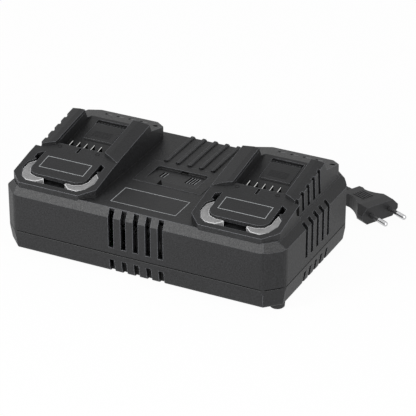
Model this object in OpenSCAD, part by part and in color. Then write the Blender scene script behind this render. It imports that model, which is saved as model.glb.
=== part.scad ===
// Twin battery charger with two sloping docks, a vented housing, a fan and a mains cord.
// Units are millimetres. X runs along the front, Y to the back, Z up from the floor.

/* [Housing] */
// Length of the housing, side to side
body_l = 230; // [215:1:250]
// Depth of the housing, front to back
body_d = 134.5; // [128:0.5:145]
// Size of the 45 degree cut at each upright corner
corner_cut = 12.3; // [9:0.1:15]
// Wall thickness of both housings
wall = 2.5; // [2:0.1:3]
// Height of the joint between the two housings
parting_z = 21.2; // [20.5:0.1:23]
// Height of the flat deck between the docks
deck_z = 58.1; // [56.5:0.1:60]
// Width and height of the 45 degree bevel over each end
bevel_run = 6.4; // [5:0.1:8]
// Width of the sloping band along the front
band_run = 3.45; // [2.5:0.05:4.5]
// Height of the sloping band along the front
band_rise = 6.9; // [5:0.1:8]
// Chamfer along the rear edge of the deck
rear_run = 2.2; // [1.5:0.1:3]
// Softening of the upright edges
edge_soft = 3; // [2:0.1:4]
// Softening of the docks' upright edges
dock_soft = 0.9; // [0.5:0.1:2]
// Draft of the lower housing from the joint down to its edge
base_draft = 1.9; // [1:0.1:2.5]
// Radius of the edge round the bottom
base_edge_r = 2.3; // [1.5:0.1:3]

/* [Docks] */
// Distance from each end of the housing to the middle of its dock
dock_inset = 40.6; // [39.5:0.1:42]
// Half width of a dock
dock_hw = 35.2; // [34.4:0.1:36]
// Corner cut of a dock seen from above
dock_cut = 10.2; // [8:0.1:12]
// Height of the dock plane half way along the depth
dock_z = 74.1; // [73:0.1:76]
// Slope of the dock plane, rising to the back
dock_tilt = 9.5; // [8.5:0.1:10.5]
// Half width of the channel between the rails
channel_hw = 20.7; // [19.5:0.1:21.5]
// Depth of the channel floor under the dock plane
channel_deep = 9; // [8:0.1:9.6]
// Height of the rails over the dock plane
rail_h = 2; // [1.2:0.1:3]
// Width of the flat top of each rail
rail_flat = 4.65; // [3:0.05:6]
// Half width of the plate in front of the channel
plate_hw = 24; // [22.5:0.1:24.2]
// Thickness of the plate
plate_t = 2.8; // [2:0.1:3.2]
// Depth of the lens tops under the dock plane
lens_drop = 2; // [1.5:0.1:3]
// Depth of the pocket that the lenses lie in
pocket_deep = 6; // [5.5:0.1:6.5]

/* [Vents and ribs] */
// Width of a front vent slot
front_slot_w = 4.3; // [3:0.1:5]
// Distance between the front vent slots
front_slot_pitch = 10.18; // [8:0.01:10.6]
// Width of a side vent slot
side_slot_w = 4.2; // [3:0.1:5]
// Distance between the side vent slots
side_slot_pitch = 9.7; // [8:0.1:10]
// Width of a rib on the rear deck
rib_w = 3.4; // [2.5:0.1:4.5]
// Height of a rib on the rear deck
rib_h = 1.5; // [0.8:0.1:2.2]
// Distance between the ribs
rib_pitch = 9.85; // [8:0.05:11]

/* [Feet and screws] */
// Height of the rubber feet under the housing
foot_h = 5.5; // [4:0.1:6]
// Radius of the rubber feet
foot_r = 6; // [5:0.1:6.1]
// Shank radius of the housing screws
screw_r = 1.5; // [1.2:0.1:1.7]
// Radius of the screw posts
post_r = 4.2; // [3.6:0.1:4.8]

/* [Inside] */
// Half length of the main board
board_hl = 91; // [88:0.5:92]
// Thickness of the circuit boards
board_t = 1.6; // [1.2:0.1:1.8]
// Height of the main board over the housing floor
board_lift = 3.8; // [3.4:0.1:4]
// Width and height of the fan
fan_w = 40; // [38:0.5:41]
// Thickness of the fan
fan_t = 10; // [9:0.5:10.5]
// Radius of the fan shaft
shaft_r = 1; // [0.8:0.05:1.2]

/* [Cord and plug] */
// Diameter of the mains cord
cord_d = 5.2; // [5:0.1:5.4]
// Width of the plug's front
plug_w = 36; // [34:0.1:36.5]
// Thickness of the plug
plug_t = 14.4; // [13:0.1:14.5]
// Length of the plug's grip
plug_l = 36; // [34:0.5:40]
// Radius of a plug pin
pin_r = 2; // [1.9:0.05:2.2]
// Distance between the plug pins
pin_gap = 18.6; // [18:0.1:19.2]
// Length of the plug pins
pin_l = 19; // [18.5:0.1:19.5]

/* [Hidden] */

// Clearances, and how far a cut runs past a face
over = 1;
seat_gap = 0.3;
fit_gap = 0.05;
seam = 0.55;
$fn = 48;

// Housing
hl = body_l / 2;
hd = body_d / 2;
hc = (hl + hd - corner_cut) / sqrt(2);
base_top = foot_h + wall;
deck_under = deck_z - wall;
lip_t = 1.4;
lip_rise = 2;
lip_foot = 4;

// Rubber feet
foot_inset_x = 9.5;
foot_inset_y = 19.25;
foot_rear_inset = 16;
foot_seat = 1;
foot_taper = 0.5;

// Housing screws, as distances from the ends and from the front or rear
post_inset_x = 17;
post_inset_y = 10.25;
mid_post_x = 46;
screw_head_r = 2.8;
screw_head_h = 2.4;
screw_l = 21;
counterbore = 6.5;

// Docks
dock_x = hl - dock_inset;
dock_front = hd - 2.85;
dock_rear = hd - 3.75;
rim_y = -30;
rim_drop = 2;
channel_front = -12.5;
crease_y = 40.5;
back_z = 66.2;
rail_end_y = 30.6;
rail_step = 0.4;
rail_fall = 3;
rail_edge = 34.75;
rail_edge_h = 0.4;
rail_nose = [[0, -14.8], [3.8, -16.6], [12.6, -20.8]];
floor_t = 3.5;
vent_u = 33.1;
vent_draft = 1.1;
vent_front = -19;
vent_back = 55;
vent_t = 2.3;
vent_slot_in = 30.6;
hollow_hw = vent_u - vent_t;

// Plate, lens pockets and lenses
plate_front = -53.4;
plate_back = -26;
plate_r = 8;
plate_foot_hw = 17;
plate_foot_front = -46;
lens_gap = 0.3;
lens_outer = [[25.6, -35.6], [29.9, -40.6], [30.4, -48.5], [26.6, -56.4], [21.5, -59.6], [14, -59.2], [9, -54.8]];
lens_inner = [[9.6, -53.9], [16, -53.9], [21.9, -51.6], [24.6, -46.8], [25, -40]];
notch = [[28.5, -29], [28.5, -34.6]];
rear_hole_n = 4;
pocket_front = -60.4;
light_at = [27.5, -44.5];
light_r = 2;

// Terminals
blade_n = 5;
blade_pitch = 6.2;
blade_t = 0.5;
blade_back = -3.8;
blade_drop = 2;
blade_tail = 13;
window_hw = 15.6;
window_back = -2.6;
flange_hw = 23;
flange_front = -15;
flange_back = -1;
flange_t = 3;
tscrew_u = 19.4;
tscrew_y = -8;
tscrew_r = 0.9;
tscrew_head_r = 1.8;
tscrew_head_h = 1.2;
tscrew_grip = 2.6;
wire_r = 1;

// Vents and ribs
slot_n = 5;
front_slot_low = 26.6;
front_slot_high = 57.5;
front_slot_deep = 4.35;
low_slot_high = 16.2;
low_slot_deep = 5.6;
side_slot_y = 0.6;
side_slot_low = 27.5;
side_slot_deep = 3.9;
dock_slot_low = 59.5;
rib_n = 5;
rib_front = 19.5;
rear_hole_y = 55;
rear_hole = [2.4, 1.2];
rear_hole_pitch = 10.2;
corner_hole = [29.5, 51];
corner_hole_r = 2.3;
corner_hole_deep = 3;

// Deck panel and its shallow well
panel_x = 28.7;
panel_y = [-17.7, 18.4];
panel_h = 0.3;
well_x = 21;
well_y = [-12, 11.3];
well_deep = 2;
well_r = 3;
pad_t = 2;
icon_deep = 1.2;
bar_y = [-4.6, 7];
bar_x = [8.6, 10.9, 13, 15.1];
mark_y = [-1.8, 5];
mark_x = [-13.4, -10.9];
bar_w = 0.9;
catch_hw = 2.7;
catch_y = [9.6, 11.2];

// Channel details
latch_hw = 12.9;
latch_y = [32.3, 37.5];
latch_deep = 2.3;
pad_hw = 12.4;
pad_front = 11.8;
pad_h = 0.4;
groove_w = 2;
groove_y = [-20, -13];
groove_deep = 1.2;

// Main board and what stands on it
board_z = base_top + board_lift;
board_top = board_z + board_t;
board_y = [18.25 - hd, hd - 20.25];
standoff_x = board_hl - 11;
standoff_y = hd - 27.25;
standoff_r = 3;
bscrew_r = 1.1;
bscrew_head_r = 2.5;
bscrew_head_h = 1.8;
bscrew_l = 5;
core_size = [42, 15, 34];
core_y = 12;
core_leg = 12;
core_limb = 6;
core_yoke = 6;
bobbin_t = 1.2;
coil_room = 2.8;
coil_build = (core_size[0] - core_leg) / 2 - core_limb - bobbin_t - coil_room;
bulk_r = 11;
bulk_h = 34;
bulk_at = [27, 33];
outcap_r = 5;
outcap_h = 22;
outcap_y = -22;
outcap_x = [12, 25];
sink_x = 46;
sink_hy = 32;
sink_t = 3;
sink_h = 30;
fin_n = 9;
fin_t = 1.2;
fin_l = 6;
part_size = [4.8, 16, 21];
part_y = 18;
choke_at = [66, hd - 33.25];
choke_r = 8;
choke_wire = 3.2;
choke_core_r = 2;
xcap_size = [26, 10, 16];
xcap_at = [-63.5, hd - 31.25];
fuse_at = [-66, hd - 43.25];
fuse_r = 2.6;
fuse_l = 20;
fuse_cap = 5;

// Light boards
lboard_hu = 31.5;
lboard_y = [-50.5, -36.5];
lboard_z = 50;
led_size = [3.5, 3.5, 1.8];
stake_y = [-39.5, -47.5];
stake_r = 1.1;
stake_boss_r = 2.6;
stake_tail = 0.8;

// Fan
fan_z = (base_top + deck_under) / 2;
fan_inset = 14.95;
fan_back = fan_inset - hd;
fan_y = fan_back - fan_t / 2;
fan_bore_r = fan_w / 2 - 1.4;
blade_tip_r = fan_bore_r - 0.6;
hub_r = 9.5;
hub_skin = 1.2;
bush_r = 2.6;
stator_r = 7.2;
strut_w = 2;
strut_t = 1.6;
fan_blade_n = 7;
fan_blade_pitch = 38;
fan_blade_t = 1.1;
cradle_w = 2;
cradle_h = 17;

// Gland, clamp and cord
cord_r = cord_d / 2;
gland_x = -8;
gland_z = 14.6;
gland_neck_r = 4.6;
gland_flange_r = 6;
gland_collar_r = 6.5;
gland_in = hd - 4.85;
gland_flange_t = 2.1;
gland_collar_t = 2.6;
gland_end = hd + 16.75;
boot_root_r = 5.2;
boot_tip_r = 3.9;
ring_n = 3;
ring_w = 1.4;
gland_boss_hw = 7.5;
clamp_hw = 13;
clamp_y = [hd - 14.25, hd - 8.25];
clamp_top = 20;
cscrew_x = 9;
cord_inside = hd - 16.75;
core_wire_r = 1.1;
core_wire_gap = 1.3;
core_wire_end = 38;

// Coil, in two layers that spiral in and out again
coil_at = [29, 112.5];
coil_r = 38;
coil_turns = 4;
coil_gap = 0.5;
tie_t = 0.9;
coil_z = tie_t + seat_gap + cord_r;
coil_steps = 24;
coil_sides = 6;
coil_dip = 1.5;
tube_sides = 10;
tie_w = 12;
tie_angle = -30;

// Plug, lying on the floor with its pins pointing away
plug_yaw = -28;
plug_z = plug_t / 2;
plug_front_t = 6;
boot_l = 20;
boot_r = 4.5;
plug_tail_hw = 7.6;
plug_collar_hw = 9;
plug_tail_t = 9.8;
sleeve_l = 10;
sleeve_r = 1.7;
sleeve_wall_share = 0.3;
pin_root = 8;
root_r = 2.6;
cord_run = 44;
plug_rise_share = 2.8;
plug_run_shares = [0.5, 0.66, 0.82, 1];
waist_steps = 8;
flange_share = 1.3;
waist_share = 0.78;
collar_shares = [0.9, 0.94];
plug_end_share = 0.12;
boot_shares = [[0.72, 0], [0.8, 0.3], [0.7, 0.32], [0.74, 0.4], [0.88, 0.42], [0.92, 0.66], [0.82, 0.68],
    [0.84, 0.76], [0.98, 0.78], [1, 1]];
pin_tip_shares = [[1, 0.6], [0.86, 0.2], [0.5, 0]];
plug_cut_share = 0.36;

// Points by rule

function plane(y, h) = dock_z + h + y * tan(dock_tilt);
rail_top_z = plane(rail_end_y, rail_h);
rear_slope = (plane(crease_y, -channel_deep) - back_z) / (dock_rear - crease_y);
function rear_z(y) = back_z + rear_slope * (dock_rear - y);
rail_foot_y = rail_end_y + rail_fall;

// A closed outline from the points of its right side and of its left side, both going up
function closed(right, left) =
    concat(right, [for (i = [len(left) - 1:-1:0]) [-left[i][0], left[i][1]]]);
function shifted(pts, d) = [for (p = pts) [p[0] + d, p[1]]];
function unit(v) = v / norm(v);
// The outline with each corner replaced by a short curve
function softened(pts, r, steps) = [for (i = [0:len(pts) - 1])
    let (p = pts[i], q = pts[(i + len(pts) - 1) % len(pts)], s = pts[(i + 1) % len(pts)],
         a = p + unit(q - p) * r, b = p + unit(s - p) * r)
    for (k = [0:steps]) let (f = k / steps) a * (1 - f) * (1 - f) + 2 * p * f * (1 - f) + b * f * f];
function octagon(hx, hy, cut) = [[hx, hy - cut], [hx - cut, hy], [-hx + cut, hy], [-hx, hy - cut],
    [-hx, -hy + cut], [-hx + cut, -hy], [hx - cut, -hy], [hx, -hy + cut]];
function row(n, pitch) = [for (i = [0:n - 1]) (i - (n - 1) / 2) * pitch];

// A profile in Y and Z that runs along X, and one in X and Z that runs along Y
module across(x0, x1, pts)
    translate([x0, 0, 0]) rotate([90, 0, 90]) linear_extrude(x1 - x0) polygon(pts);
module along(y0, y1, pts)
    translate([0, y1, 0]) rotate([90, 0, 0]) linear_extrude(y1 - y0) polygon(pts);
// A box between three pairs of low and high values
module block(x, y, z)
    translate([x[0], y[0], z[0]]) cube([x[1] - x[0], y[1] - y[0], z[1] - z[0]]);
module mirrored(v) {
    children();
    mirror(v) children();
}
module at_docks() for (x = [-dock_x, dock_x]) translate([x, 0, 0]) children();
module drum(r, y0, y1) translate([0, y1, 0]) rotate([90, 0, 0]) cylinder(r = r, h = y1 - y0);
module rod(at, r, z0, z1) translate([at[0], at[1], z0]) cylinder(r = r, h = z1 - z0);

// A form with four upright walls and four corner walls, each with its own profile
module walled(side, front, rear) {
    intersection() {
        along(-body_d, body_d, closed(side, side));
        across(-body_l, body_l, closed(rear, front));
        rotate(-45) along(-body_l, body_l, closed(shifted(front, hc - hd), shifted(rear, hc - hd)));
        rotate(-135) along(-body_l, body_l, closed(shifted(front, hc - hd), shifted(rear, hc - hd)));
    }
}

// Wall profile of the upper housing at distance h, inset by g, with a bevel of run by rise
function upper_wall(h, g, run, rise) = concat(
    g > 0 ? [[h - g, parting_z - over]] : [[h - seam, parting_z], [h, parting_z + seam]],
    [[h - g, deck_z - rise - g / 2], [h - run - g / 2, deck_z - g]]);
module upper_form(g)
    walled(upper_wall(hl, g, bevel_run, bevel_run), upper_wall(hd, g, band_run, band_rise),
        upper_wall(hd, g, rear_run, rear_run));

// Wall profile of the lower housing at distance h, inset by g
function lower_wall(h, g) = g > 0
    ? [[h - base_draft - base_edge_r / 2 - g, foot_h + g], [h - base_draft - g, foot_h + g + base_edge_r / 2],
       [h - g, parting_z + over]]
    : concat([for (a = [0:30:90]) [h - base_draft - base_edge_r * (1 - sin(a)),
                                   foot_h + base_edge_r * (1 - cos(a))]],
        [[h, parting_z - seam], [h - seam, parting_z]]);
module lower_form(g) walled(lower_wall(hl, g), lower_wall(hd, g), lower_wall(hd, g));

module soft_plan(z0, z1)
    translate([0, 0, z0]) linear_extrude(z1 - z0)
        polygon(softened(octagon(hl, hd, corner_cut), edge_soft, 3));

// Screws

module machine_screw(at, r, head_r, head_h, seat_z, l, up) {
    translate([at[0], at[1], seat_z]) mirror([0, 0, up ? 0 : 1]) {
        cylinder(r = r, h = l);
        translate([0, 0, -head_h]) cylinder(r = head_r, h = head_h);
    }
}

function foot_at(sx, sy) = [sx * (hl - (sy > 0 ? foot_rear_inset : foot_inset_x)), sy * (hd - foot_inset_y)];
function post_places() = concat(
    [for (sx = [-1, 1], sy = [-1, 1]) [sx * (hl - post_inset_x), sy * (hd - post_inset_y)]],
    [for (sx = [-1, 1]) [sx * mid_post_x, hd - post_inset_y]]);
function post_top(y) = y > 0 ? rear_z(y) - wall : deck_under + over;

// Dock forms, drawn round the middle of one dock

function dock_plan() = [[dock_hw, dock_rear - dock_cut], [dock_hw - dock_cut, dock_rear],
    [-dock_hw + dock_cut, dock_rear], [-dock_hw, dock_rear - dock_cut],
    [-dock_hw, -dock_front + dock_cut], [-dock_hw + dock_cut, -dock_front],
    [dock_hw - dock_cut, -dock_front], [dock_hw, -dock_front + dock_cut]];

// A plan outline held between two planes that lie h0 and h1 over the dock plane
module leaned(h0, h1) {
    y0 = -body_d;
    y1 = body_d;
    intersection() {
        linear_extrude(body_d) children();
        across(-body_l, body_l, [[y0, plane(y0, h0)], [y1, plane(y1, h0)], [y1, plane(y1, h1)], [y0, plane(y0, h1)]]);
    }
}

module dock_body() {
    low = deck_z - wall / 2;
    intersection() {
        linear_extrude(body_d) polygon(softened(dock_plan(), dock_soft, 2));
        across(-dock_hw, dock_hw, [[-dock_front, low], [-dock_front, plane(-dock_front, -rim_drop)],
            [rim_y, plane(rim_y, 0)], [rail_end_y, plane(rail_end_y, 0)],
            [rail_foot_y, rear_z(rail_foot_y)], [dock_rear, back_z], [dock_rear, low]]);
    }
}

// Both rails, with flat tops and shoulders that fall to the outside
module dock_rails() {
    low = deck_z;
    inner = channel_hw + rail_step;
    profile = [[inner, -dock_hw], [inner, rail_h], [channel_hw + rail_flat, rail_h],
        [rail_edge, rail_edge_h], [dock_hw, rail_edge_h], [dock_hw, -dock_hw]];
    nose = [for (p = rail_nose) [inner + p[0], p[1]]];
    mirrored([1, 0, 0]) intersection() {
        linear_extrude(body_d) polygon(softened(dock_plan(), dock_soft, 2));
        linear_extrude(body_d) polygon(concat(nose,
            [[dock_hw + over, nose[2][1]], [dock_hw + over, dock_rear], [inner, dock_rear]]));
        across(0, dock_hw, [[-dock_front, low], [-dock_front, plane(-dock_front, rail_h)],
            [rail_end_y, rail_top_z], [rail_foot_y, rear_z(rail_foot_y)], [dock_rear, back_z],
            [dock_rear, low]]);
        translate([0, 0, dock_z]) rotate([dock_tilt, 0, 0]) along(-body_d, body_d, profile);
    }
}

module plate_shape() {
    corner = [plate_hw - plate_r, plate_front + plate_r];
    intersection() {
        union() {
            mirrored([1, 0, 0]) translate(corner) circle(r = plate_r);
            translate([-corner[0], plate_front]) square([2 * corner[0], plate_back - plate_front + over]);
            translate([-plate_hw, corner[1]]) square([2 * plate_hw, plate_back - corner[1] + over]);
        }
        translate([-plate_hw, plate_front]) square([2 * plate_hw, plate_back - plate_front + over]);
    }
}
module plate_foot()
    translate([-plate_foot_hw, plate_foot_front])
        square([2 * plate_foot_hw, plate_back - plate_foot_front + over]);

module plate() {
    leaned(-plate_t, 0) plate_shape();
    leaned(-pocket_deep - over, -plate_t / 2) plate_foot();
}

// Outline of the pocket round the plate, and of one lens
function pocket_half() = concat([[plate_hw, plate_back]], notch,
    [for (p = lens_outer) if (p[0] > plate_hw) p + [lens_gap, 0]],
    [[lens_outer[4][0] + lens_gap, pocket_front]]);
module pocket_cut() {
    half = pocket_half();
    difference() {
        leaned(-pocket_deep, rail_h + over) polygon(concat(half,
            [for (i = [len(half) - 1:-1:0]) [-half[i][0], half[i][1]]]));
        plate();
    }
}
function lens_shape() = concat(lens_outer, lens_inner);

// The channel between the rails, open to the top and over the low rear edge
module channel_cut() {
    high = rail_top_z + over;
    difference() {
        across(-channel_hw, channel_hw, [[channel_front, plane(channel_front, -channel_deep)],
            [dock_rear, plane(dock_rear, -channel_deep)], [dock_rear, high], [channel_front, high]]);
        leaned(-channel_deep - over, -channel_deep + pad_h) translate([-pad_hw, pad_front])
            square([2 * pad_hw, latch_y[0] - pad_front]);
    }
    leaned(-channel_deep - latch_deep, -channel_deep + pad_h + over) translate([-latch_hw, latch_y[0]])
        square([2 * latch_hw, latch_y[1] - latch_y[0]]);
    block([-window_hw, window_hw], [channel_front, window_back],
        [deck_under - wall, plane(0, 0)]);
    leaned(-groove_deep, over) translate([-groove_w / 2, groove_y[0]])
        square([groove_w, groove_y[1] - groove_y[0]]);
    for (u = row(rear_hole_n, rear_hole_pitch))
        translate([u, rear_hole_y, back_z - wall]) linear_extrude(body_d) square(rear_hole, center = true);
    translate([corner_hole[0], corner_hole[1], rear_z(corner_hole[1]) - corner_hole_deep])
        cylinder(r = corner_hole_r, h = body_d);
}

// Space inside a dock, under the channel, the rails and the rear
module dock_hollow() {
    low = deck_under - over;
    under = -channel_deep - floor_t;
    front = -dock_front + dock_cut + wall;
    lift = -pocket_deep - wall;
    across(-hollow_hw, hollow_hw, [[front, low], [front, plane(front, lift)],
        [channel_front - wall, plane(channel_front - wall, lift)],
        [channel_front - wall, plane(channel_front - wall, under)],
        [crease_y, plane(crease_y, under)], [dock_rear - wall, back_z - wall - latch_deep],
        [dock_rear - wall, back_z - 2 * wall - dock_cut / 2], [dock_rear - dock_cut, low]]);
    y0 = channel_front - seat_gap;
    y1 = dock_rear - dock_cut;
    top = rail_h - wall - seat_gap;
    mirrored([1, 0, 0]) across(channel_hw + wall, hollow_hw, [[y0, low], [y0, plane(y0, top)],
        [rail_end_y - wall, plane(rail_end_y - wall, top)], [rail_end_y, rear_z(rail_foot_y) - wall - over],
        [y1, rear_z(y1) - wall - over], [y1, low]]);
}

// The set-back wall on the outer side of the right dock, with a small bevel at its foot
module vent_side_cut() {
    u = dock_x + vent_u;
    along(vent_front, vent_back + over, [[u, deck_z + over + seat_gap / 2], [u - vent_draft, rail_top_z + over],
        [hl + over, rail_top_z + over], [hl + over, deck_z - dock_cut]]);
}

// Vents

module front_vents(z, deep)
    for (x = row(slot_n, front_slot_pitch))
        block([x - front_slot_w / 2, x + front_slot_w / 2], [-hd - over, -hd + deep], z);
module side_vents(x, z)
    mirrored([1, 0, 0]) for (y = row(slot_n, side_slot_pitch))
        block(x, [side_slot_y + y - side_slot_w / 2, side_slot_y + y + side_slot_w / 2], z);

// Upper housing

module deck_ribs()
    for (x = row(rib_n, rib_pitch)) translate([x, 0, 0]) {
        top = deck_z + rib_h;
        cap = [[rib_w / 2, deck_under], [rib_w / 2, top - rib_h / 2], [rib_w / 2 - rib_h / 2, top]];
        intersection() {
            along(rib_front, hd, closed(cap, cap));
            union() {
                block([-rib_w, rib_w], [rib_front + rib_w / 2, hd], [deck_under, top]);
                rod([0, rib_front + rib_w / 2], rib_w / 2, deck_under, top);
            }
            across(-rib_w, rib_w, [[rib_front, deck_under], [hd - rear_run, deck_under], [hd, deck_z - rear_run],
                [hd, deck_z - rear_run + rib_h / 2], [hd - rear_run, top], [rib_front, top]]);
        }
    }

// The well in the deck panel falls to its rear wall and ends in rounded rear corners
module deck_well() {
    h = deck_z + panel_h;
    intersection() {
        linear_extrude(body_d) union() {
            translate([-well_x, well_y[0]]) square([2 * well_x, well_y[1] - well_y[0] - well_r]);
            translate([-well_x + well_r, well_y[0]])
                square([2 * (well_x - well_r), well_y[1] - well_y[0]]);
            mirrored([1, 0]) translate([well_x - well_r, well_y[1] - well_r]) circle(r = well_r);
        }
        across(-body_l, body_l, [[well_y[0], h], [well_y[1] + over, h - well_deep - panel_h],
            [well_y[1] + over, h + over], [well_y[0], h + over]]);
    }
}
module deck_icons() {
    z = [deck_z - well_deep - icon_deep, deck_z + over];
    for (x = bar_x) block([x, x + bar_w], bar_y, z);
    for (x = mark_x) block([x, x + bar_w], mark_y, z);
    block([-catch_hw, catch_hw], catch_y, z);
}

module top_tongue() {
    r = gland_neck_r;
    difference() {
        block([gland_x - r, gland_x + r], [gland_in + fit_gap, hd], [gland_z, parting_z + gland_neck_r]);
        translate([gland_x, 0, gland_z]) drum(r + fit_gap, gland_in - over, hd + over);
    }
}

module light_stakes()
    at_docks() for (y = stake_y) {
        rod([0, y], stake_boss_r, lboard_z + board_t, plane(y, -pocket_deep - over));
        rod([0, y], stake_r, lboard_z - stake_tail, lboard_z + board_t + over);
    }

module top_housing() {
    color("#3c3d3f") difference() {
        union() {
            difference() {
                union() {
                    intersection() {
                        upper_form(0);
                        soft_plan(parting_z, deck_z + over);
                    }
                    difference() {
                        at_docks() union() {
                            dock_body();
                            dock_rails();
                            plate();
                        }
                        mirrored([1, 0, 0]) vent_side_cut();
                    }
                    deck_ribs();
                    block([-panel_x, panel_x], panel_y, [deck_under, deck_z + panel_h]);
                }
                upper_form(wall);
                at_docks() dock_hollow();
            }
            block([-well_x - wall, well_x + wall], [well_y[0] - wall, well_y[1] + wall],
                [deck_under - pad_t, deck_under + over]);
            for (p = post_places()) rod(p, post_r, parting_z, post_top(p[1]));
            block([-fan_w * 0.4, fan_w * 0.4], [fan_back - fan_t, fan_back],
                [fan_z + fan_w / 2 + seat_gap, deck_under + over]);
            light_stakes();
            top_tongue();
        }
        at_docks() channel_cut();
        at_docks() pocket_cut();
        at_docks() mirrored([1, 0, 0])
            rod(light_at, light_r + seat_gap / 2, lboard_z + board_t + over, dock_z);
        at_docks() mirrored([1, 0, 0]) rod([tscrew_u, tscrew_y], tscrew_r + fit_gap,
            deck_under, plane(tscrew_y, -channel_deep - floor_t) + tscrew_grip);
        deck_well();
        deck_icons();
        front_vents([front_slot_low, front_slot_high], front_slot_deep);
        side_vents([hl - side_slot_deep, hl + over], [side_slot_low, deck_z + over]);
        side_vents([dock_x + vent_slot_in, dock_x + dock_hw + over], [dock_slot_low, rail_top_z + over]);
        for (p = post_places())
            rod(p, screw_r + fit_gap, parting_z - over, foot_h + counterbore + screw_l + over);
    }
}

// Lower housing

module lip() {
    gap = wall + seat_gap;
    difference() {
        union() {
            intersection() {
                walled_prism(wall - over / 2, parting_z - lip_foot, parting_z);
                lower_form(wall / 2);
            }
            walled_prism(gap, parting_z - over, parting_z + lip_rise);
        }
        walled_prism(gap + lip_t, parting_z - lip_foot - over, parting_z + lip_rise + over);
        block([gland_x - gland_boss_hw, gland_x + gland_boss_hw], [hd - wall - lip_foot, hd],
            [parting_z - lip_foot - over, parting_z + lip_rise + over]);
    }
}
// The housing's plan inset by g, between two heights
module walled_prism(g, z0, z1) {
    translate([0, 0, z0]) linear_extrude(z1 - z0)
        polygon(octagon(hl - g, hd - g, corner_cut - g * (2 - sqrt(2))));
}

module fan_cradle() {
    low = base_top - over;
    y = [fan_back - fan_t - seat_gap, fan_back + cradle_w + seat_gap];
    block([-fan_w / 2, fan_w / 2], [fan_back - fan_t, fan_back], [low, fan_z - fan_w / 2]);
    mirrored([1, 0, 0]) block([fan_w / 2 + seat_gap, fan_w / 2 + seat_gap + cradle_w], y,
        [low, base_top + cradle_h]);
    mirrored([1, 0, 0]) block([fan_w / 2 - cradle_w * 2, fan_w / 2 + seat_gap + cradle_w],
        [fan_back + seat_gap, fan_back + seat_gap + cradle_w], [low, base_top + cradle_h]);
}

module base_shell() {
    color("#47484a") difference() {
        union() {
            difference() {
                intersection() {
                    lower_form(0);
                    soft_plan(foot_h, parting_z);
                }
                lower_form(wall);
            }
            lip();
            for (p = post_places()) rod(p, post_r, base_top - over, parting_z);
            for (sx = [-1, 1], sy = [-1, 1])
                rod([sx * standoff_x, sy * standoff_y], standoff_r, base_top - over, board_z);
            block([gland_x - gland_boss_hw, gland_x + gland_boss_hw], [gland_in + fit_gap, hd],
                [base_top - over, parting_z]);
            block([gland_x - clamp_hw, gland_x + clamp_hw], clamp_y, [base_top - over, gland_z - cord_r - fit_gap]);
            fan_cradle();
        }
        for (sx = [-1, 1], sy = [-1, 1]) {
            rod(foot_at(sx, sy), foot_r + fit_gap,
                foot_h - over, foot_h + foot_seat);
            rod([sx * standoff_x, sy * standoff_y], bscrew_r + fit_gap, base_top, board_z + over);
        }
        for (p = post_places()) {
            rod(p, screw_r + fit_gap, foot_h, parting_z + over);
            rod(p, screw_head_r + seat_gap, foot_h - over, foot_h + counterbore);
        }
        translate([gland_x, 0, gland_z]) drum(gland_neck_r + fit_gap, gland_in - over, hd + over);
        block([gland_x - gland_neck_r - fit_gap, gland_x + gland_neck_r + fit_gap],
            [gland_in - over, hd + over], [gland_z, parting_z + lip_rise + over]);
        for (s = [-1, 1]) rod([gland_x + s * cscrew_x, (clamp_y[0] + clamp_y[1]) / 2], bscrew_r + fit_gap,
            base_top, gland_z);
        front_vents([foot_h - over, low_slot_high], low_slot_deep);
        side_vents([hl - low_slot_deep, hl + over], [foot_h - over, low_slot_high]);
    }
}

module rubber_feet()
    color("#1c1c1d") for (sx = [-1, 1], sy = [-1, 1])
        translate(foot_at(sx, sy)) rotate_extrude()
            polygon([[0, 0], [foot_r - foot_taper * 2, 0], [foot_r - foot_taper, foot_taper],
                [foot_r, foot_h], [foot_r, foot_h + foot_seat], [0, foot_h + foot_seat]]);

module housing_screws()
    color("#8e9092") for (p = post_places())
        machine_screw(p, screw_r, screw_head_r, screw_head_h, foot_h + counterbore, screw_l, true);

// Lenses

module lens(side)
    mirror([side > 0 ? 0 : 1, 0, 0]) {
        leaned(-pocket_deep, -lens_drop) polygon(lens_shape());
        difference() {
            rod(light_at, light_r, lboard_z + board_t + led_size[2] + seat_gap, dock_z);
            leaned(-pocket_deep, body_d) square(body_l, center = true);
        }
    }
module dock_1_lens_left() color("#b9bbbc") translate([-dock_x, 0, 0]) lens(-1);
module dock_1_lens_right() color("#b9bbbc") translate([-dock_x, 0, 0]) lens(1);
module dock_2_lens_left() color("#b9bbbc") translate([dock_x, 0, 0]) lens(-1);
module dock_2_lens_right() color("#b9bbbc") translate([dock_x, 0, 0]) lens(1);

// Terminals

function blade_low() = plane(0, -channel_deep - floor_t) - blade_tail;
module blade_stack(grow)
    for (u = row(blade_n, blade_pitch))
        intersection() {
            block([u - blade_t / 2 - grow, u + blade_t / 2 + grow],
                [channel_front + seat_gap - grow, blade_back + grow], [blade_low() - grow * over, dock_z]);
            across(-body_l, body_l, [[channel_front - over, 0], [blade_back + over, 0],
                [blade_back + over, plane(blade_back + over, -blade_drop)],
                [channel_front - over, plane(channel_front - over, -blade_drop)]]);
        }
module terminal_block() {
    under = -channel_deep - floor_t;
    difference() {
        union() {
            leaned(under - over, -channel_deep) translate([-window_hw + fit_gap, channel_front + fit_gap])
                square([2 * (window_hw - fit_gap), window_back - channel_front - 2 * fit_gap]);
            leaned(under - flange_t, under) translate([-flange_hw, flange_front + over])
                square([2 * flange_hw, flange_back - flange_front - over]);
        }
        blade_stack(fit_gap);
        mirrored([1, 0, 0]) rod([tscrew_u, tscrew_y], tscrew_r + fit_gap, deck_under - wall, dock_z);
    }
}
module dock_1_terminal_block() color("#222325") translate([-dock_x, 0, 0]) terminal_block();
module dock_2_terminal_block() color("#222325") translate([dock_x, 0, 0]) terminal_block();
module dock_1_blades() color("#c9c6ba") translate([-dock_x, 0, 0]) blade_stack(0);
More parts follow.
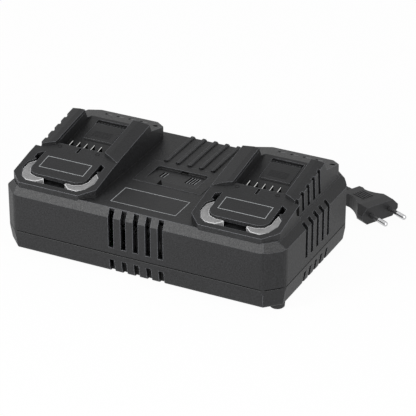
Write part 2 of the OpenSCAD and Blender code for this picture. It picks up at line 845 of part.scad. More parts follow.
module dock_2_blades() color("#c9c6ba") translate([dock_x, 0, 0]) blade_stack(0);

module terminal_screws()
    color("#8e9092") at_docks() for (s = [-1, 1])
        machine_screw([s * tscrew_u, tscrew_y], tscrew_r, tscrew_head_r, tscrew_head_h,
            plane(tscrew_y - tscrew_head_r, -channel_deep - floor_t - flange_t),
            flange_t + tscrew_grip - seat_gap, true);

module wires()
    for (u = row(blade_n, blade_pitch))
        rod([u, (channel_front + blade_back) / 2], wire_r, board_top, blade_low());
module dock_1_wires() color("#7a2f2a") translate([-dock_x, 0, 0]) wires();
module dock_2_wires() color("#7a2f2a") translate([dock_x, 0, 0]) wires();

// Light boards and lamps

module light_board()
    difference() {
        block([-lboard_hu, lboard_hu], lboard_y, [lboard_z, lboard_z + board_t]);
        for (y = stake_y) rod([0, y], stake_r + fit_gap, lboard_z - over, lboard_z + board_t + over);
    }
module dock_1_light_board() color("#2f5a3a") translate([-dock_x, 0, 0]) light_board();
module dock_2_light_board() color("#2f5a3a") translate([dock_x, 0, 0]) light_board();
module status_leds()
    color("#e8e6d8") at_docks() for (s = [-1, 1])
        translate([s * light_at[0] - led_size[0] / 2, light_at[1] - led_size[1] / 2, lboard_z + board_t])
            cube(led_size);

// Main board and its parts

module main_board()
    color("#2f5a3a") difference() {
        block([-board_hl, board_hl], board_y, [board_z, board_top]);
        for (sx = [-1, 1], sy = [-1, 1])
            rod([sx * standoff_x, sy * standoff_y], bscrew_r + fit_gap, board_z - over, board_top + over);
    }
module board_screws()
    color("#8e9092") for (sx = [-1, 1], sy = [-1, 1])
        machine_screw([sx * standoff_x, sy * standoff_y], bscrew_r, bscrew_head_r, bscrew_head_h,
            board_top, bscrew_l, false);

module standing(size, at) translate([at[0] - size[0] / 2, at[1] - size[1] / 2, board_top]) cube(size);

module transformer_core()
    color("#4a4743") translate([0, core_y, board_top]) difference() {
        translate([-core_size[0] / 2, -core_size[1] / 2, 0]) cube(core_size);
        w = (core_size[0] - core_leg) / 2 - core_limb;
        for (s = [-1, 1]) translate([s * (core_leg + w) / 2 - w / 2, -core_size[1], core_yoke])
            cube([w, core_size[1] * 2, core_size[2] - 2 * core_yoke]);
    }
// The bobbin is a square tube round the core's middle leg, and the winding fills its waist
function bobbin_in() = [core_leg / 2 + fit_gap, core_size[1] / 2 + fit_gap];
module core_ring(inner, outer, z0, z1)
    difference() {
        block([-outer[0], outer[0]], [-outer[1], outer[1]], [z0, z1]);
        block([-inner[0], inner[0]], [-inner[1], inner[1]], [z0 - over, z1 + over]);
    }
window_z = [core_yoke + fit_gap, core_size[2] - core_yoke - fit_gap];
module transformer_bobbin()
    color("#25211d") translate([0, core_y, board_top]) {
        a = bobbin_in();
        b = a + [bobbin_t, bobbin_t];
        c = b + [coil_build, coil_build];
        core_ring(a, b, window_z[0], window_z[1]);
        core_ring(a, c, window_z[0], window_z[0] + bobbin_t);
        core_ring(a, c, window_z[1] - bobbin_t, window_z[1]);
    }
module transformer_winding()
    color("#b98a2f") translate([0, core_y, board_top]) {
        b = bobbin_in() + [bobbin_t + fit_gap, bobbin_t + fit_gap];
        core_ring(b, b + [coil_build - bobbin_t, coil_build - bobbin_t],
            window_z[0] + bobbin_t + fit_gap, window_z[1] - bobbin_t - fit_gap);
    }

module can(at, r, h)
    translate([at[0], at[1], board_top]) rotate_extrude()
        polygon([[0, 0], [r - r / 12, 0], [r, r / 12], [r, r / 5], [r - r / 16, r / 4], [r, r / 3],
            [r, h - r / 12], [r - r / 12, h], [0, h]]);
module bulk_capacitors() color("#23262e") for (s = [-1, 1]) can([s * bulk_at[0], bulk_at[1]], bulk_r, bulk_h);
module output_capacitors()
    color("#23262e") for (s = [-1, 1], x = outcap_x) can([s * x, outcap_y], outcap_r, outcap_h);

module heat_sinks()
    color("#a9abad") mirrored([1, 0, 0]) {
        block([sink_x, sink_x + sink_t], [-sink_hy, sink_hy], [board_top, board_top + sink_h]);
        for (y = row(fin_n, (2 * sink_hy - fin_t) / (fin_n - 1)))
            block([sink_x - fin_l, sink_x + over], [y - fin_t / 2, y + fin_t / 2], [board_top, board_top + sink_h]);
    }
module power_transistors()
    color("#1f1f20") mirrored([1, 0, 0]) for (y = [-part_y, part_y])
        standing(part_size, [sink_x + sink_t + part_size[0] / 2, y]);

module choke_core()
    color("#4a4743") translate([choke_at[0], choke_at[1], board_top + choke_wire]) rotate_extrude()
        translate([choke_r, 0]) circle(r = choke_core_r);
module choke_winding()
    color("#b98a2f") translate([choke_at[0], choke_at[1], board_top + choke_wire])
        for (a = [20, 200]) rotate(a) rotate_extrude(angle = 140) translate([choke_r, 0]) difference() {
            circle(r = choke_wire);
            circle(r = choke_core_r + fit_gap);
        }
module filter_capacitor() color("#c7a12c") standing(xcap_size, xcap_at);
module fuse()
    color("#c9c9c4") translate([fuse_at[0] - fuse_l / 2, fuse_at[1], board_top + fuse_r])
        rotate([0, 90, 0]) rotate_extrude() polygon([[0, 0], [fuse_r, 0], [fuse_r, fuse_cap],
            [fuse_r - fit_gap * 4, fuse_cap], [fuse_r - fit_gap * 4, fuse_l - fuse_cap],
            [fuse_r, fuse_l - fuse_cap], [fuse_r, fuse_l], [0, fuse_l]]);

// Fan

module at_fan() translate([0, fan_y, fan_z]) children();
bush_front = fan_t / 2 - strut_t;
hub_front = -fan_t / 2 + over;
module fan_frame()
    color("#202123") at_fan() {
        difference() {
            translate([-fan_w / 2, -fan_t / 2, -fan_w / 2]) cube([fan_w, fan_t, fan_w]);
            drum(fan_bore_r, -fan_t, fan_t);
        }
        difference() {
            union() {
                drum(hub_r, bush_front, fan_t / 2);
                for (a = [45:90:315]) rotate([0, a, 0])
                    block([bush_r, fan_bore_r + over], [bush_front, fan_t / 2 - seat_gap],
                        [-strut_w / 2, strut_w / 2]);
                drum(bush_r, hub_front + 2 * hub_skin, fan_t / 2);
            }
            drum(shaft_r + fit_gap, -fan_t, fan_t);
        }
    }
module fan_stator()
    color("#b98a2f") at_fan() difference() {
        drum(stator_r, hub_front + 2 * hub_skin, bush_front - fit_gap);
        drum(bush_r + fit_gap, -fan_t, fan_t);
    }
module fan_rotor()
    color("#151617") at_fan() {
        difference() {
            drum(hub_r, hub_front, bush_front - seat_gap);
            drum(hub_r - hub_skin, hub_front + hub_skin, fan_t);
        }
        drum(shaft_r, hub_front, fan_t / 2);
        intersection() {
            difference() {
                drum(blade_tip_r, hub_front, bush_front - seat_gap);
                drum(hub_r - hub_skin / 2, -fan_t, fan_t);
            }
            for (i = [0:fan_blade_n - 1]) rotate([0, i * 360 / fan_blade_n, 0])
                translate([blade_tip_r / 2, 0, 0]) rotate([fan_blade_pitch, 0, 0])
                    cube([blade_tip_r * 1.2, fan_t * 1.6, fan_blade_t], center = true);
        }
    }

// Gland and cord clamp

module cord_gland()
    color("#1e1f20") translate([gland_x, 0, gland_z]) rotate([-90, 0, 0]) rotate_extrude() {
        bore = cord_r + fit_gap;
        c = hd + 2 * fit_gap;
        step = (gland_end - c - gland_collar_t) / ring_n;
        rings = [for (i = [0:ring_n - 1], k = [0, 1])
            let (y = c + gland_collar_t + i * step + (k == 0 ? 0 : step - ring_w),
                 r = boot_root_r + (boot_tip_r - boot_root_r) * i / ring_n) [r, y]];
        valleys = [for (i = [0:ring_n - 1]) [[boot_root_r - over, c + gland_collar_t + (i + 1) * step - ring_w],
            [boot_root_r - over, c + gland_collar_t + (i + 1) * step]]];
        polygon(concat([[bore, gland_in - gland_flange_t], [gland_flange_r, gland_in - gland_flange_t],
            [gland_flange_r, gland_in], [gland_neck_r, gland_in], [gland_neck_r, c],
            [gland_collar_r, c], [gland_collar_r, c + gland_collar_t]],
            [for (i = [0:ring_n - 1]) each [rings[2 * i], rings[2 * i + 1],
                [boot_tip_r - over / 2, valleys[i][0][1]], [boot_tip_r - over / 2, valleys[i][1][1]]]],
            [[bore, gland_end]]));
    }

module cord_clamp()
    color("#26272a") difference() {
        block([gland_x - clamp_hw, gland_x + clamp_hw], clamp_y, [gland_z - cord_r - fit_gap, clamp_top]);
        translate([gland_x, 0, gland_z]) drum(cord_r + fit_gap, clamp_y[0] - over, clamp_y[1] + over);
        block([gland_x - cord_r - fit_gap, gland_x + cord_r + fit_gap], [clamp_y[0] - over, clamp_y[1] + over],
            [gland_z - cord_r - over, gland_z]);
        for (s = [-1, 1]) rod([gland_x + s * cscrew_x, (clamp_y[0] + clamp_y[1]) / 2], bscrew_r + fit_gap,
            base_top, clamp_top + over);
    }
module clamp_screws()
    color("#8e9092") for (s = [-1, 1])
        machine_screw([gland_x + s * cscrew_x, (clamp_y[0] + clamp_y[1]) / 2], bscrew_r, bscrew_head_r,
            bscrew_head_h, clamp_top, clamp_top - base_top - seat_gap, false);
module mains_wires()
    color("#3f6fae") for (s = [-1, 1])
        translate([gland_x + s * core_wire_gap, 0, board_top + core_wire_r + fit_gap])
            drum(core_wire_r, core_wire_end, cord_inside);

// Cord

// Tube with a ring of points square to the path at each of its points
function path_dir(p, i) = unit(p[min(i + 1, len(p) - 1)] - p[max(i - 1, 0)]);
function ring(at, d, r, n) = let (a = unit(cross([0, 0, 1], d)), b = cross(d, a))
    [for (k = [0:n - 1]) at + r * (a * cos(360 * k / n) + b * sin(360 * k / n))];
module tube(p, r, n) {
    m = len(p);
    pts = [for (i = [0:m - 1]) each ring(p[i], path_dir(p, i), r, n)];
    skin = [for (i = [0:m - 2], k = [0:n - 1]) let (a = i * n + k, b = i * n + (k + 1) % n)
        each [[a, b, b + n], [a, b + n, a + n]]];
    caps = [for (k = [1:n - 2]) each [[0, k + 1, k], [(m - 1) * n, (m - 1) * n + k, (m - 1) * n + k + 1]]];
    polyhedron(pts, concat([for (f = skin) [f[0], f[2], f[1]]], [for (f = caps) [f[0], f[2], f[1]]]));
}

// Coil: in on the lower layer, up one layer in half a turn, and out on the upper layer
coil_pitch = cord_d + coil_gap;
coil_in_r = coil_r - coil_turns * coil_pitch;
coil_start = 90 + plug_yaw;
coil_up = coil_start + 360 * coil_turns;
coil_end = 180 + 360 * floor((coil_up + 180 + 360 * coil_turns - 180) / 360);
function coil_radius(a) = a < coil_up ? coil_r - coil_pitch * (a - coil_start) / 360
    : a < coil_up + 180 ? coil_in_r - coil_dip * sin(a - coil_up)
    : coil_in_r + coil_pitch * (a - coil_up - 180) / 360;
function coil_height(a) = coil_z + coil_pitch * max(0, min(1, (a - coil_up) / 180));
function coil_point(a) = [coil_at[0] + coil_radius(a) * cos(a), coil_at[1] + coil_radius(a) * sin(a),
    coil_height(a)];
coil_step = 360 / coil_steps;
coil_n = ceil((coil_end - coil_start) / coil_step);
coil_turn = [for (i = [0:coil_n]) coil_point(coil_start + (coil_end - coil_start) * i / coil_n)];
plug_way = [cos(plug_yaw), sin(plug_yaw), 0];
coil_first = coil_turn[0] + cord_d * plug_way;
coil_last = coil_turn[coil_n] - [0, cord_d, 0];
coil_path = concat([coil_first], coil_turn, [coil_last]);
near_steps = coil_steps / 2;
coil_least = min([for (i = [0:coil_n - near_steps], k = [i + near_steps:coil_n])
    norm(coil_turn[i] - coil_turn[k])]) - cord_d;
echo(least_gap_in_the_coil = coil_least);
module cord_coil() color("#1e1f20") tube(coil_path, cord_r, coil_sides);

// From the clamp inside the housing, out through the gland and down onto the coil
gland_route = [[-8, 50.5, 14.6], [-8, 62, 14.6], [-8, 73, 14.6], [-8, 84, 14.6], [-8, 90, 14.4],
    [-8, 95, 12.4], [-8, 99, 10.2]];
module supply_cord()
    color("#1e1f20") tube(concat(gland_route, [coil_last - [0, cord_d, 0], coil_last]), cord_r, tube_sides);

// From the coil to the back of the plug, as [distance from the coil, height]
plug_route = [[0, 0], [6, 0], [12, 0.9], [17, 2.2]];
plug_face = coil_first + (cord_run + plug_l) * plug_way + [0, 0, plug_z - coil_z];
module plug_cord() {
    rise = plug_z - coil_z;
    start = [for (q = plug_route) coil_first + q[0] * plug_way + [0, 0, q[1] * rise / plug_rise_share]];
    run = [for (f = plug_run_shares) coil_first + cord_run * f * plug_way + [0, 0, rise]];
    color("#1e1f20") tube(concat(start, run), cord_r, tube_sides);
}

// Strap round the coil's turns
module cord_tie() {
    low = coil_in_r - cord_r - coil_dip - over;
    high = coil_r + cord_r + coil_gap;
    top = coil_z + coil_pitch + cord_r + seat_gap;
    color("#101112") translate([coil_at[0], coil_at[1], 0]) rotate(tie_angle) difference() {
        block([low - tie_t, high + tie_t], [-tie_w / 2, tie_w / 2], [0, top + tie_t]);
        block([low, high], [-tie_w, tie_w], [tie_t, top]);
    }
}

// Plug, drawn with its front at the origin and its pins along X

module at_plug() translate(plug_face) rotate(plug_yaw) children();
module plug_boot()
    color("#2a2b2d") at_plug() translate([-plug_l - boot_l, 0, 0]) rotate([0, 90, 0]) rotate_extrude()
        polygon(concat([[cord_r + fit_gap, 0]], [for (p = boot_shares) [boot_r * p[0], boot_l * p[1]]],
            [[cord_r + fit_gap, boot_l]]));
module plug_body() {
    tail = plug_tail_hw;
    front = plug_w / 2;
    x0 = -plug_front_t;
    x1 = -plug_l * waist_share;
    waist = [for (i = [0:waist_steps]) let (f = i / waist_steps)
        [x0 + (x1 - x0) * f, tail + (front - tail) * (1 - f) * (1 - f)]];
    half = concat([[0, front]], waist, [[-plug_l * collar_shares[0], plug_collar_hw],
        [-plug_l, plug_collar_hw * collar_shares[1]]]);
    end_z = plug_t * plug_end_share;
    cut = plug_t * plug_cut_share;
    color("#303133") at_plug() difference() {
        intersection() {
            translate([0, 0, -plug_t]) linear_extrude(2 * plug_t)
                polygon(concat(half, [for (i = [len(half) - 1:-1:0]) [half[i][0], -half[i][1]]]));
            across(-plug_l - over, over, [[front, -end_z], [front, end_z], [front - cut, plug_t / 2],
                [-front + cut, plug_t / 2], [-front, end_z], [-front, -end_z], [-front + cut, -plug_t / 2],
                [front - cut, -plug_t / 2]]);
            along(-front, front, [[over, -plug_t / 2], [over, plug_t / 2], [x0 * flange_share, plug_t / 2],
                [-plug_l - over, plug_tail_t / 2], [-plug_l - over, -plug_tail_t / 2], [x0 * flange_share, -plug_t / 2]]);
        }
        for (s = [-1, 1]) translate([0, s * pin_gap / 2, 0]) rotate([0, -90, 0]) {
            translate([0, 0, over - fit_gap]) cylinder(r = root_r + fit_gap, h = pin_root - over + 2 * fit_gap);
            translate([0, 0, -over]) cylinder(r = pin_neck_r() + fit_gap, h = pin_root);
        }
    }
}
module plug_sleeves()
    color("#232426") at_plug() for (s = [-1, 1]) translate([fit_gap, s * pin_gap / 2, 0]) rotate([0, 90, 0])
        difference() {
            cylinder(r = sleeve_r, h = sleeve_l);
            translate([0, 0, -over]) cylinder(r = sleeve_r - pin_step(), h = sleeve_l + 2 * over);
        }
function pin_step() = sleeve_r * sleeve_wall_share;
function pin_neck_r() = sleeve_r - pin_step() - fit_gap;
module plug_pins()
    color("#c8c9c6") at_plug() for (s = [-1, 1]) translate([-pin_root, s * pin_gap / 2, 0]) rotate([0, 90, 0])
        rotate_extrude() {
            core = pin_neck_r();
            a = pin_root;
            b = pin_root + sleeve_l + 2 * fit_gap;
            e = pin_root + pin_l;
            polygon(concat([[0, 0], [root_r, 0], [root_r, a - over], [core, a - over], [core, b], [pin_r, b]],
                [for (p = pin_tip_shares) [pin_r * p[0], e - pin_r * p[1]]], [[0, e]]));
        }

top_housing();
base_shell();
rubber_feet();
housing_screws();
dock_1_lens_left();
dock_1_lens_right();
dock_2_lens_left();
dock_2_lens_right();
dock_1_terminal_block();
dock_2_terminal_block();
dock_1_blades();
dock_2_blades();
terminal_screws();
dock_1_wires();
dock_2_wires();
dock_1_light_board();
dock_2_light_board();
status_leds();
main_board();
board_screws();
transformer_core();
transformer_bobbin();
transformer_winding();
bulk_capacitors();
output_capacitors();
heat_sinks();
power_transistors();
choke_core();
choke_winding();
filter_capacitor();
fuse();
fan_frame();
fan_stator();
fan_rotor();
cord_gland();
cord_clamp();
clamp_screws();
mains_wires();
supply_cord();
cord_coil();
plug_cord();
cord_tie();
plug_boot();
plug_body();
plug_sleeves();
plug_pins();
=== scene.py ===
import math

import bmesh
import bpy
from mathutils import Matrix, Vector


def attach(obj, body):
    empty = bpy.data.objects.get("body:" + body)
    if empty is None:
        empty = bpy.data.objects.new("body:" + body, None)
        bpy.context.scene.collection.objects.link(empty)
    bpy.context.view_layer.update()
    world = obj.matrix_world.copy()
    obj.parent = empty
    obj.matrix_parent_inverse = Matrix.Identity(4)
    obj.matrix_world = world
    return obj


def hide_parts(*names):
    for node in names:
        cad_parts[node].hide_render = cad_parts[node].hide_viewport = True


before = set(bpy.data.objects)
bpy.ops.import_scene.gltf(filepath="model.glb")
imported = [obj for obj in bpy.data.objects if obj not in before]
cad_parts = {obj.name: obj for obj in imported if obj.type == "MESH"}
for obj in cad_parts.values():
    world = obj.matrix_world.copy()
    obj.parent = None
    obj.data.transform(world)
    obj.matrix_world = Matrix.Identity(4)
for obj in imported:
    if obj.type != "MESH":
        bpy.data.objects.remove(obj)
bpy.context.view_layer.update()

bl_info = {
    "name": "Twin battery charger",
    "version": (1, 0, 0),
    "blender": (4, 5, 0),
    "location": "View3D > Sidebar > Charger",
    "description": "Finishes the pieces of a twin battery charger over its CAD frame",
    "category": "Object",
}

MM = 0.001
BODY = "charger"

# Places on the CAD frame, in millimetres and with the same values as the part's source

# Docks: middle, height half way along, slope, outer face, and depth of the channel and height of its pad
DOCK_X = 74.4
DOCK_Z = 74.1
DOCK_TILT = math.radians(9.5)
DOCK_SIDE_X = 109.6
CHANNEL_DEEP = 9
PAD_H = 0.4
# Holes behind the channels, and the slope that they lie on, which falls to the rear
REAR_HOLES = (-15.3, -5.1, 5.1, 15.3)
REAR_HOLE_Y = 55
REAR_HOLE_Z = 68.3
REAR_FALL = 0.2468
# Deck, its panel, the well in it by front edge, rear wall and slope of the floor, and the ribs behind it
DECK_Z = 58.1
PANEL_H = 0.3
WELL_FRONT = -12
WELL_BACK = 11.3
WELL_SLOPE = 0.0943
RIB_PITCH = 9.85
RIB_N = 5
# Housing: cut of its corners, radius of its upright edges, and the joint
CORNER_CUT = 12.3
CORNER_SOFT = 3
PARTING_Z = 21.2
# Diameter of the mains cord
CORD_D = 5.2

# Marks and shades that only the scene has, in millimetres

# Fields with a printed line round them: half width, front and rear
DOCK_FIELD = (18.9, -44.6, -30.2)
DECK_FIELD = (26.8, -55, -31.3)
# Bars on a dock, each as columns and rows, span along both, size of a bar, the middle of them all, and the
# level that the middle's height counts from
FLOOR_LINES = ((1, 5), (0, 6.4), (15.8, 0.5, 0.12), (0, 19.2, 0), PAD_H - CHANNEL_DEEP)
FLOOR_STRIPE = ((1, 1), (0, 0), (24, 0.8, 0.4), (1.5, 10.3, 0), -CHANNEL_DEEP)
SLOT_TEETH = ((9, 1), (21.6, 0), (1.7, 0.8, 0.8), (0, 33.7, -0.5), PAD_H - CHANNEL_DEEP)
# Rings beside the blades and in front of the ribs: radius, wire, and where they lie
RING_R = 1.5
RING_WIRE = 0.22
BLADE_RINGS_SPAN = 32.4
BLADE_RINGS_AT = (-0.6, -16.2, 0.05)
RIB_RINGS_Y = 20.4
RIB_RINGS_UP = 0.42
# Dark patches of painted shade: the front end of the slot beside a dock, the notch in the well's wall, and
# each rear hole; and a light patch of painted highlight beside each rear hole
SLOT_SHADE = [(-27.0, 69.2), (-21.7, 70.1), (-21.3, 61.6), (-25.6, 63.9)]
NOTCH_SHADE = (-2.0, 3.8, 56.3, 57.9)
HOLE_SHADE = (-0.9, 0.7, -1.9, 0.5)
HOLE_HIGHLIGHT = (1.2, 5.2, -1.9, 0.5)
# Arrow at the well, and the icons in it as bars: their left edges, and their front and rear
ARROW = [(-8.6, -17.4), (-4.0, -16.8), (-8.9, -9.0)]
ICONS = (("charge", (8.6, 10.9, 13, 15.1), (-4.6, 7)), ("level", (-13.4, -10.9), (-3.4, 5.4)))
# Dark fill of painted shade and light line of painted highlight for an icon's bar, from its left edge
ICON_SHADE = (-0.4, 1.1)
ICON_HIGHLIGHT = (1.1, 1.55)
# Height of a patch, and of one that lies against a higher patch or on the panel
PATCH_H = 0.06
FACE_H = 0.05
# Shade in the joint: points of its section as inset and height over the joint, and the steps round a corner
SEAM_SECTION = ((0.08, 0.47), (0.3, -0.3), (0.5, 0.1))
SEAM_STEPS = (0, 0.25, 0.5, 0.75, 1)
# Distance from the joint within which no edge gets the painted highlight
JOINT_CLEAR = 1.6

# Studio, in metres

# Camera, fitted to the photo: place, turn in degrees, and lens and sensor in millimetres
CAMERA_AT = (0.6549, -1.2660, 0.7892)
CAMERA_TURN = (62.026, 0, 26.427)
CAMERA_LENS = 185.3
SENSOR = 36
# Lamps: place, width and power
LAMPS = (("key lamp", (-0.8, -1.65, 0.72), 0.8, 34), ("side lamp", (1.62, -0.86, 0.76), 0.8, 18))
# Floor: half its width, and how white it is to the camera and in reflections
FLOOR_HALF = 6
FLOOR_WHITE = 0.96
FLOOR_MIRRORED = 0.8
# World: its light on the charger, and its white in reflections towards the back
WORLD_LIGHT = 0.5
WORLD_BACK = 0.8

# Settings

def colour_of(label, value):
    """A colour among the settings."""
    return bpy.props.FloatVectorProperty(
        name=label, description=f"Colour of the {label.lower()}", subtype="COLOR", size=3, min=0, max=1,
        default=value)


def length_of(label, text, value):
    """A length among the settings."""
    return bpy.props.FloatProperty(
        name=label, description=text, subtype="DISTANCE", unit="LENGTH", min=0, default=value)


class ChargerColours(bpy.types.PropertyGroup):
    """Colours of the charger's finishes"""
    housing: colour_of("Upper housing", (0.0085, 0.0087, 0.0095))
    base: colour_of("Lower housing", (0.0095, 0.0097, 0.0105))
    rubber: colour_of("Rubber", (0.012, 0.012, 0.013))
    lens: colour_of("Lenses", (0.235, 0.235, 0.237))
    print_and_highlight: colour_of("Printed lines and painted highlights", (0.33, 0.34, 0.35))
    blade: colour_of("Contact blades", (0.86, 0.86, 0.84))
    steel: colour_of("Screws and pins", (0.62, 0.62, 0.63))
    cord: colour_of("Cord", (0.012, 0.012, 0.013))
    plug: colour_of("Plug", (0.008, 0.008, 0.009))
    sleeve: colour_of("Pin sleeves", (0.06, 0.06, 0.062))
    board: colour_of("Circuit boards", (0.02, 0.14, 0.05))
    copper: colour_of("Windings", (0.62, 0.26, 0.09))


class ChargerSizes(bpy.types.PropertyGroup):
    """Sizes of the charger's finishes and loose pieces"""
    cord: length_of("Cord", "Diameter of the mains cord", CORD_D * MM)
    grain: length_of("Grain", "Size of one grain of the housing's spark texture", 1.2 * MM)
    edge: length_of("Edge", "Radius of the moulded edges", 0.6 * MM)
    line: length_of("Line", "Width of a printed line", 0.5 * MM)
    film: length_of("Film", "Height of a printed line", 0.06 * MM)
    strap: length_of("Strap", "Width of the cord's strap", 12 * MM)


def colours():
    return bpy.context.scene.charger_colours


def sizes():
    return bpy.context.scene.charger_sizes


# Meshes

def show(name, mesh, material, smooth=False):
    """A mesh as a piece of the charger's body."""
    piece = bpy.data.objects.new(name, mesh)
    bpy.context.scene.collection.objects.link(piece)
    if material:
        mesh.materials.clear()
        mesh.materials.append(material)
    mesh.shade_smooth() if smooth else mesh.shade_flat()
    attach(piece, BODY)
    return piece


def mesh_of(name, points, faces):
    """A mesh from points in metres and faces."""
    mesh = bpy.data.meshes.new(name)
    mesh.from_pydata([tuple(p) for p in points], [], faces)
    mesh.update()
    return mesh


def tidy_normals(mesh):
    """Joins points that meet, and turns all faces outwards."""
    b = bmesh.new()
    b.from_mesh(mesh)
    bmesh.ops.remove_doubles(b, verts=b.verts, dist=1e-6)
    bmesh.ops.recalc_face_normals(b, faces=b.faces)
    b.to_mesh(mesh)
    b.free()


def prism(outline, lift, thick):
    """Points and faces of a thin slab: outline in millimetres, lift(x, y, h) gives a point in metres."""
    n = len(outline)
    low = [lift(x, y, 0) for x, y in outline]
    high = [lift(x, y, thick) for x, y in outline]
    faces = [list(range(n - 1, -1, -1)), list(range(n, 2 * n))]
    faces += [[i, (i + 1) % n, n + (i + 1) % n, n + i] for i in range(n)]
    return low + high, faces


def rectangle(x0, x1, y0, y1):
    """Corners of a rectangle, in turn."""
    return [(x0, y0), (x1, y0), (x1, y1), (x0, y1)]


def joined(parts):
    """Points and faces of several parts as one."""
    points, faces = [], []
    for p, f in parts:
        base = len(points)
        points += p
        faces += [[base + i for i in face] for face in f]
    return points, faces


def smooth_line(points, step):
    """Points a step apart on a curve through the given points, all in metres."""
    p = [Vector(q) for q in points]
    p = [2 * p[0] - p[1]] + p + [2 * p[-1] - p[-2]]
    line = []
    for a, b, c, d in zip(p, p[1:], p[2:], p[3:]):
        n = max(1, round((c - b).length / step))
        for i in range(n):
            t = i / n
            line.append(0.5 * (2 * b + (c - a) * t + (2 * a - 5 * b + 4 * c - d) * t * t
                               + (3 * b - a - 3 * c + d) * t ** 3))
    return line + [p[-2]]


def swept(line, radius, sides):
    """A closed round tube along a line."""
    points, faces = [], []
    side = Vector((0, 0, 1)).cross(line[1] - line[0])
    side = side.normalized() if side.length > 1e-9 else Vector((1, 0, 0))
    for i, at in enumerate(line):
        way = (line[min(i + 1, len(line) - 1)] - line[max(i - 1, 0)]).normalized()
        side = (side - way * side.dot(way)).normalized()
        up = way.cross(side)
        for k in range(sides):
            a = 2 * math.pi * k / sides
            points.append(at + side * radius * math.cos(a) + up * radius * math.sin(a))
    for i in range(len(line) - 1):
        for k in range(sides):
            a, b = i * sides + k, i * sides + (k + 1) % sides
            faces.append([a, b, b + sides, a + sides])
    faces.append(list(range(sides - 1, -1, -1)))
    faces.append([(len(line) - 1) * sides + k for k in range(sides)])
    mesh = mesh_of("tube", points, faces)
    tidy_normals(mesh)
    return mesh


# Materials

def add(tree, kind, inputs=None, **settings):
    """A shader or geometry node with settings, and inputs that are values or outputs of other nodes."""
    made = tree.nodes.new(kind)
    for key, value in settings.items():
        setattr(made, key, value)
    for key, value in (inputs or {}).items():
        if isinstance(value, bpy.types.NodeSocket):
            tree.links.new(value, made.inputs[key])
        else:
            made.inputs[key].default_value = value
    return made


def started(name):
    """A new material, its tree and its shader."""
    material = bpy.data.materials.new(name)
    material.use_nodes = True
    tree = material.node_tree
    return material, tree, tree.nodes["Principled BSDF"]


def rgba(colour, share=1.0):
    """A colour times a share, with full cover."""
    return (*[min(1.0, c * share) for c in colour], 1)


def blended(tree, share, low, high, kind="MIX"):
    """Two colours mixed by a share."""
    mix = add(tree, "ShaderNodeMix", {0: share, 6: low, 7: high}, data_type="RGBA", blend_type=kind)
    return mix.outputs[2]


def ranged(tree, value, start, end, low, high):
    """A value between start and end, brought to between low and high."""
    return add(tree, "ShaderNodeMapRange", {0: value, 1: start, 2: end, 3: low, 4: high}).outputs[0]


def worked(tree, kind, *values):
    """The result of a maths node on values."""
    return add(tree, "ShaderNodeMath", dict(enumerate(values)), operation=kind).outputs[0]


def turned(tree, rounded):
    """How far a rounded normal still points along the face's own: 1 on a flat face and less at an edge."""
    flat = add(tree, "ShaderNodeNewGeometry").outputs["Normal"]
    return add(tree, "ShaderNodeVectorMath", {0: flat, 1: rounded}, operation="DOT_PRODUCT").outputs["Value"]


def raised(tree, shader, height, depth, strength):
    """Gives a shader the bumps of a pattern."""
    bump = add(tree, "ShaderNodeBump", {"Height": height, "Distance": depth, "Strength": strength})
    tree.links.new(bump.outputs[0], shader.inputs["Normal"])


def mottled(tree, colour, scale, spread):
    """A colour that clouds softly between darker and lighter."""
    at = add(tree, "ShaderNodeTexCoord").outputs["Object"]
    cloud = add(tree, "ShaderNodeTexNoise", {"Vector": at, "Scale": scale, "Detail": 4.0, "Roughness": 0.6})
    return blended(tree, cloud.outputs[0], rgba(colour, 1 - spread), rgba(colour, 1 + spread))


def grained(tree, size, depth, base=None, detail=2.0):
    """Bump of fine grains of a size, on a base normal."""
    at = add(tree, "ShaderNodeTexCoord").outputs["Object"]
    grain = add(tree, "ShaderNodeTexNoise", {"Vector": at, "Scale": 1 / size, "Detail": detail})
    inputs = {"Height": grain.outputs[0], "Distance": depth, "Strength": 1.0}
    if base:
        inputs["Normal"] = base
    return add(tree, "ShaderNodeBump", inputs).outputs[0], grain.outputs[0]


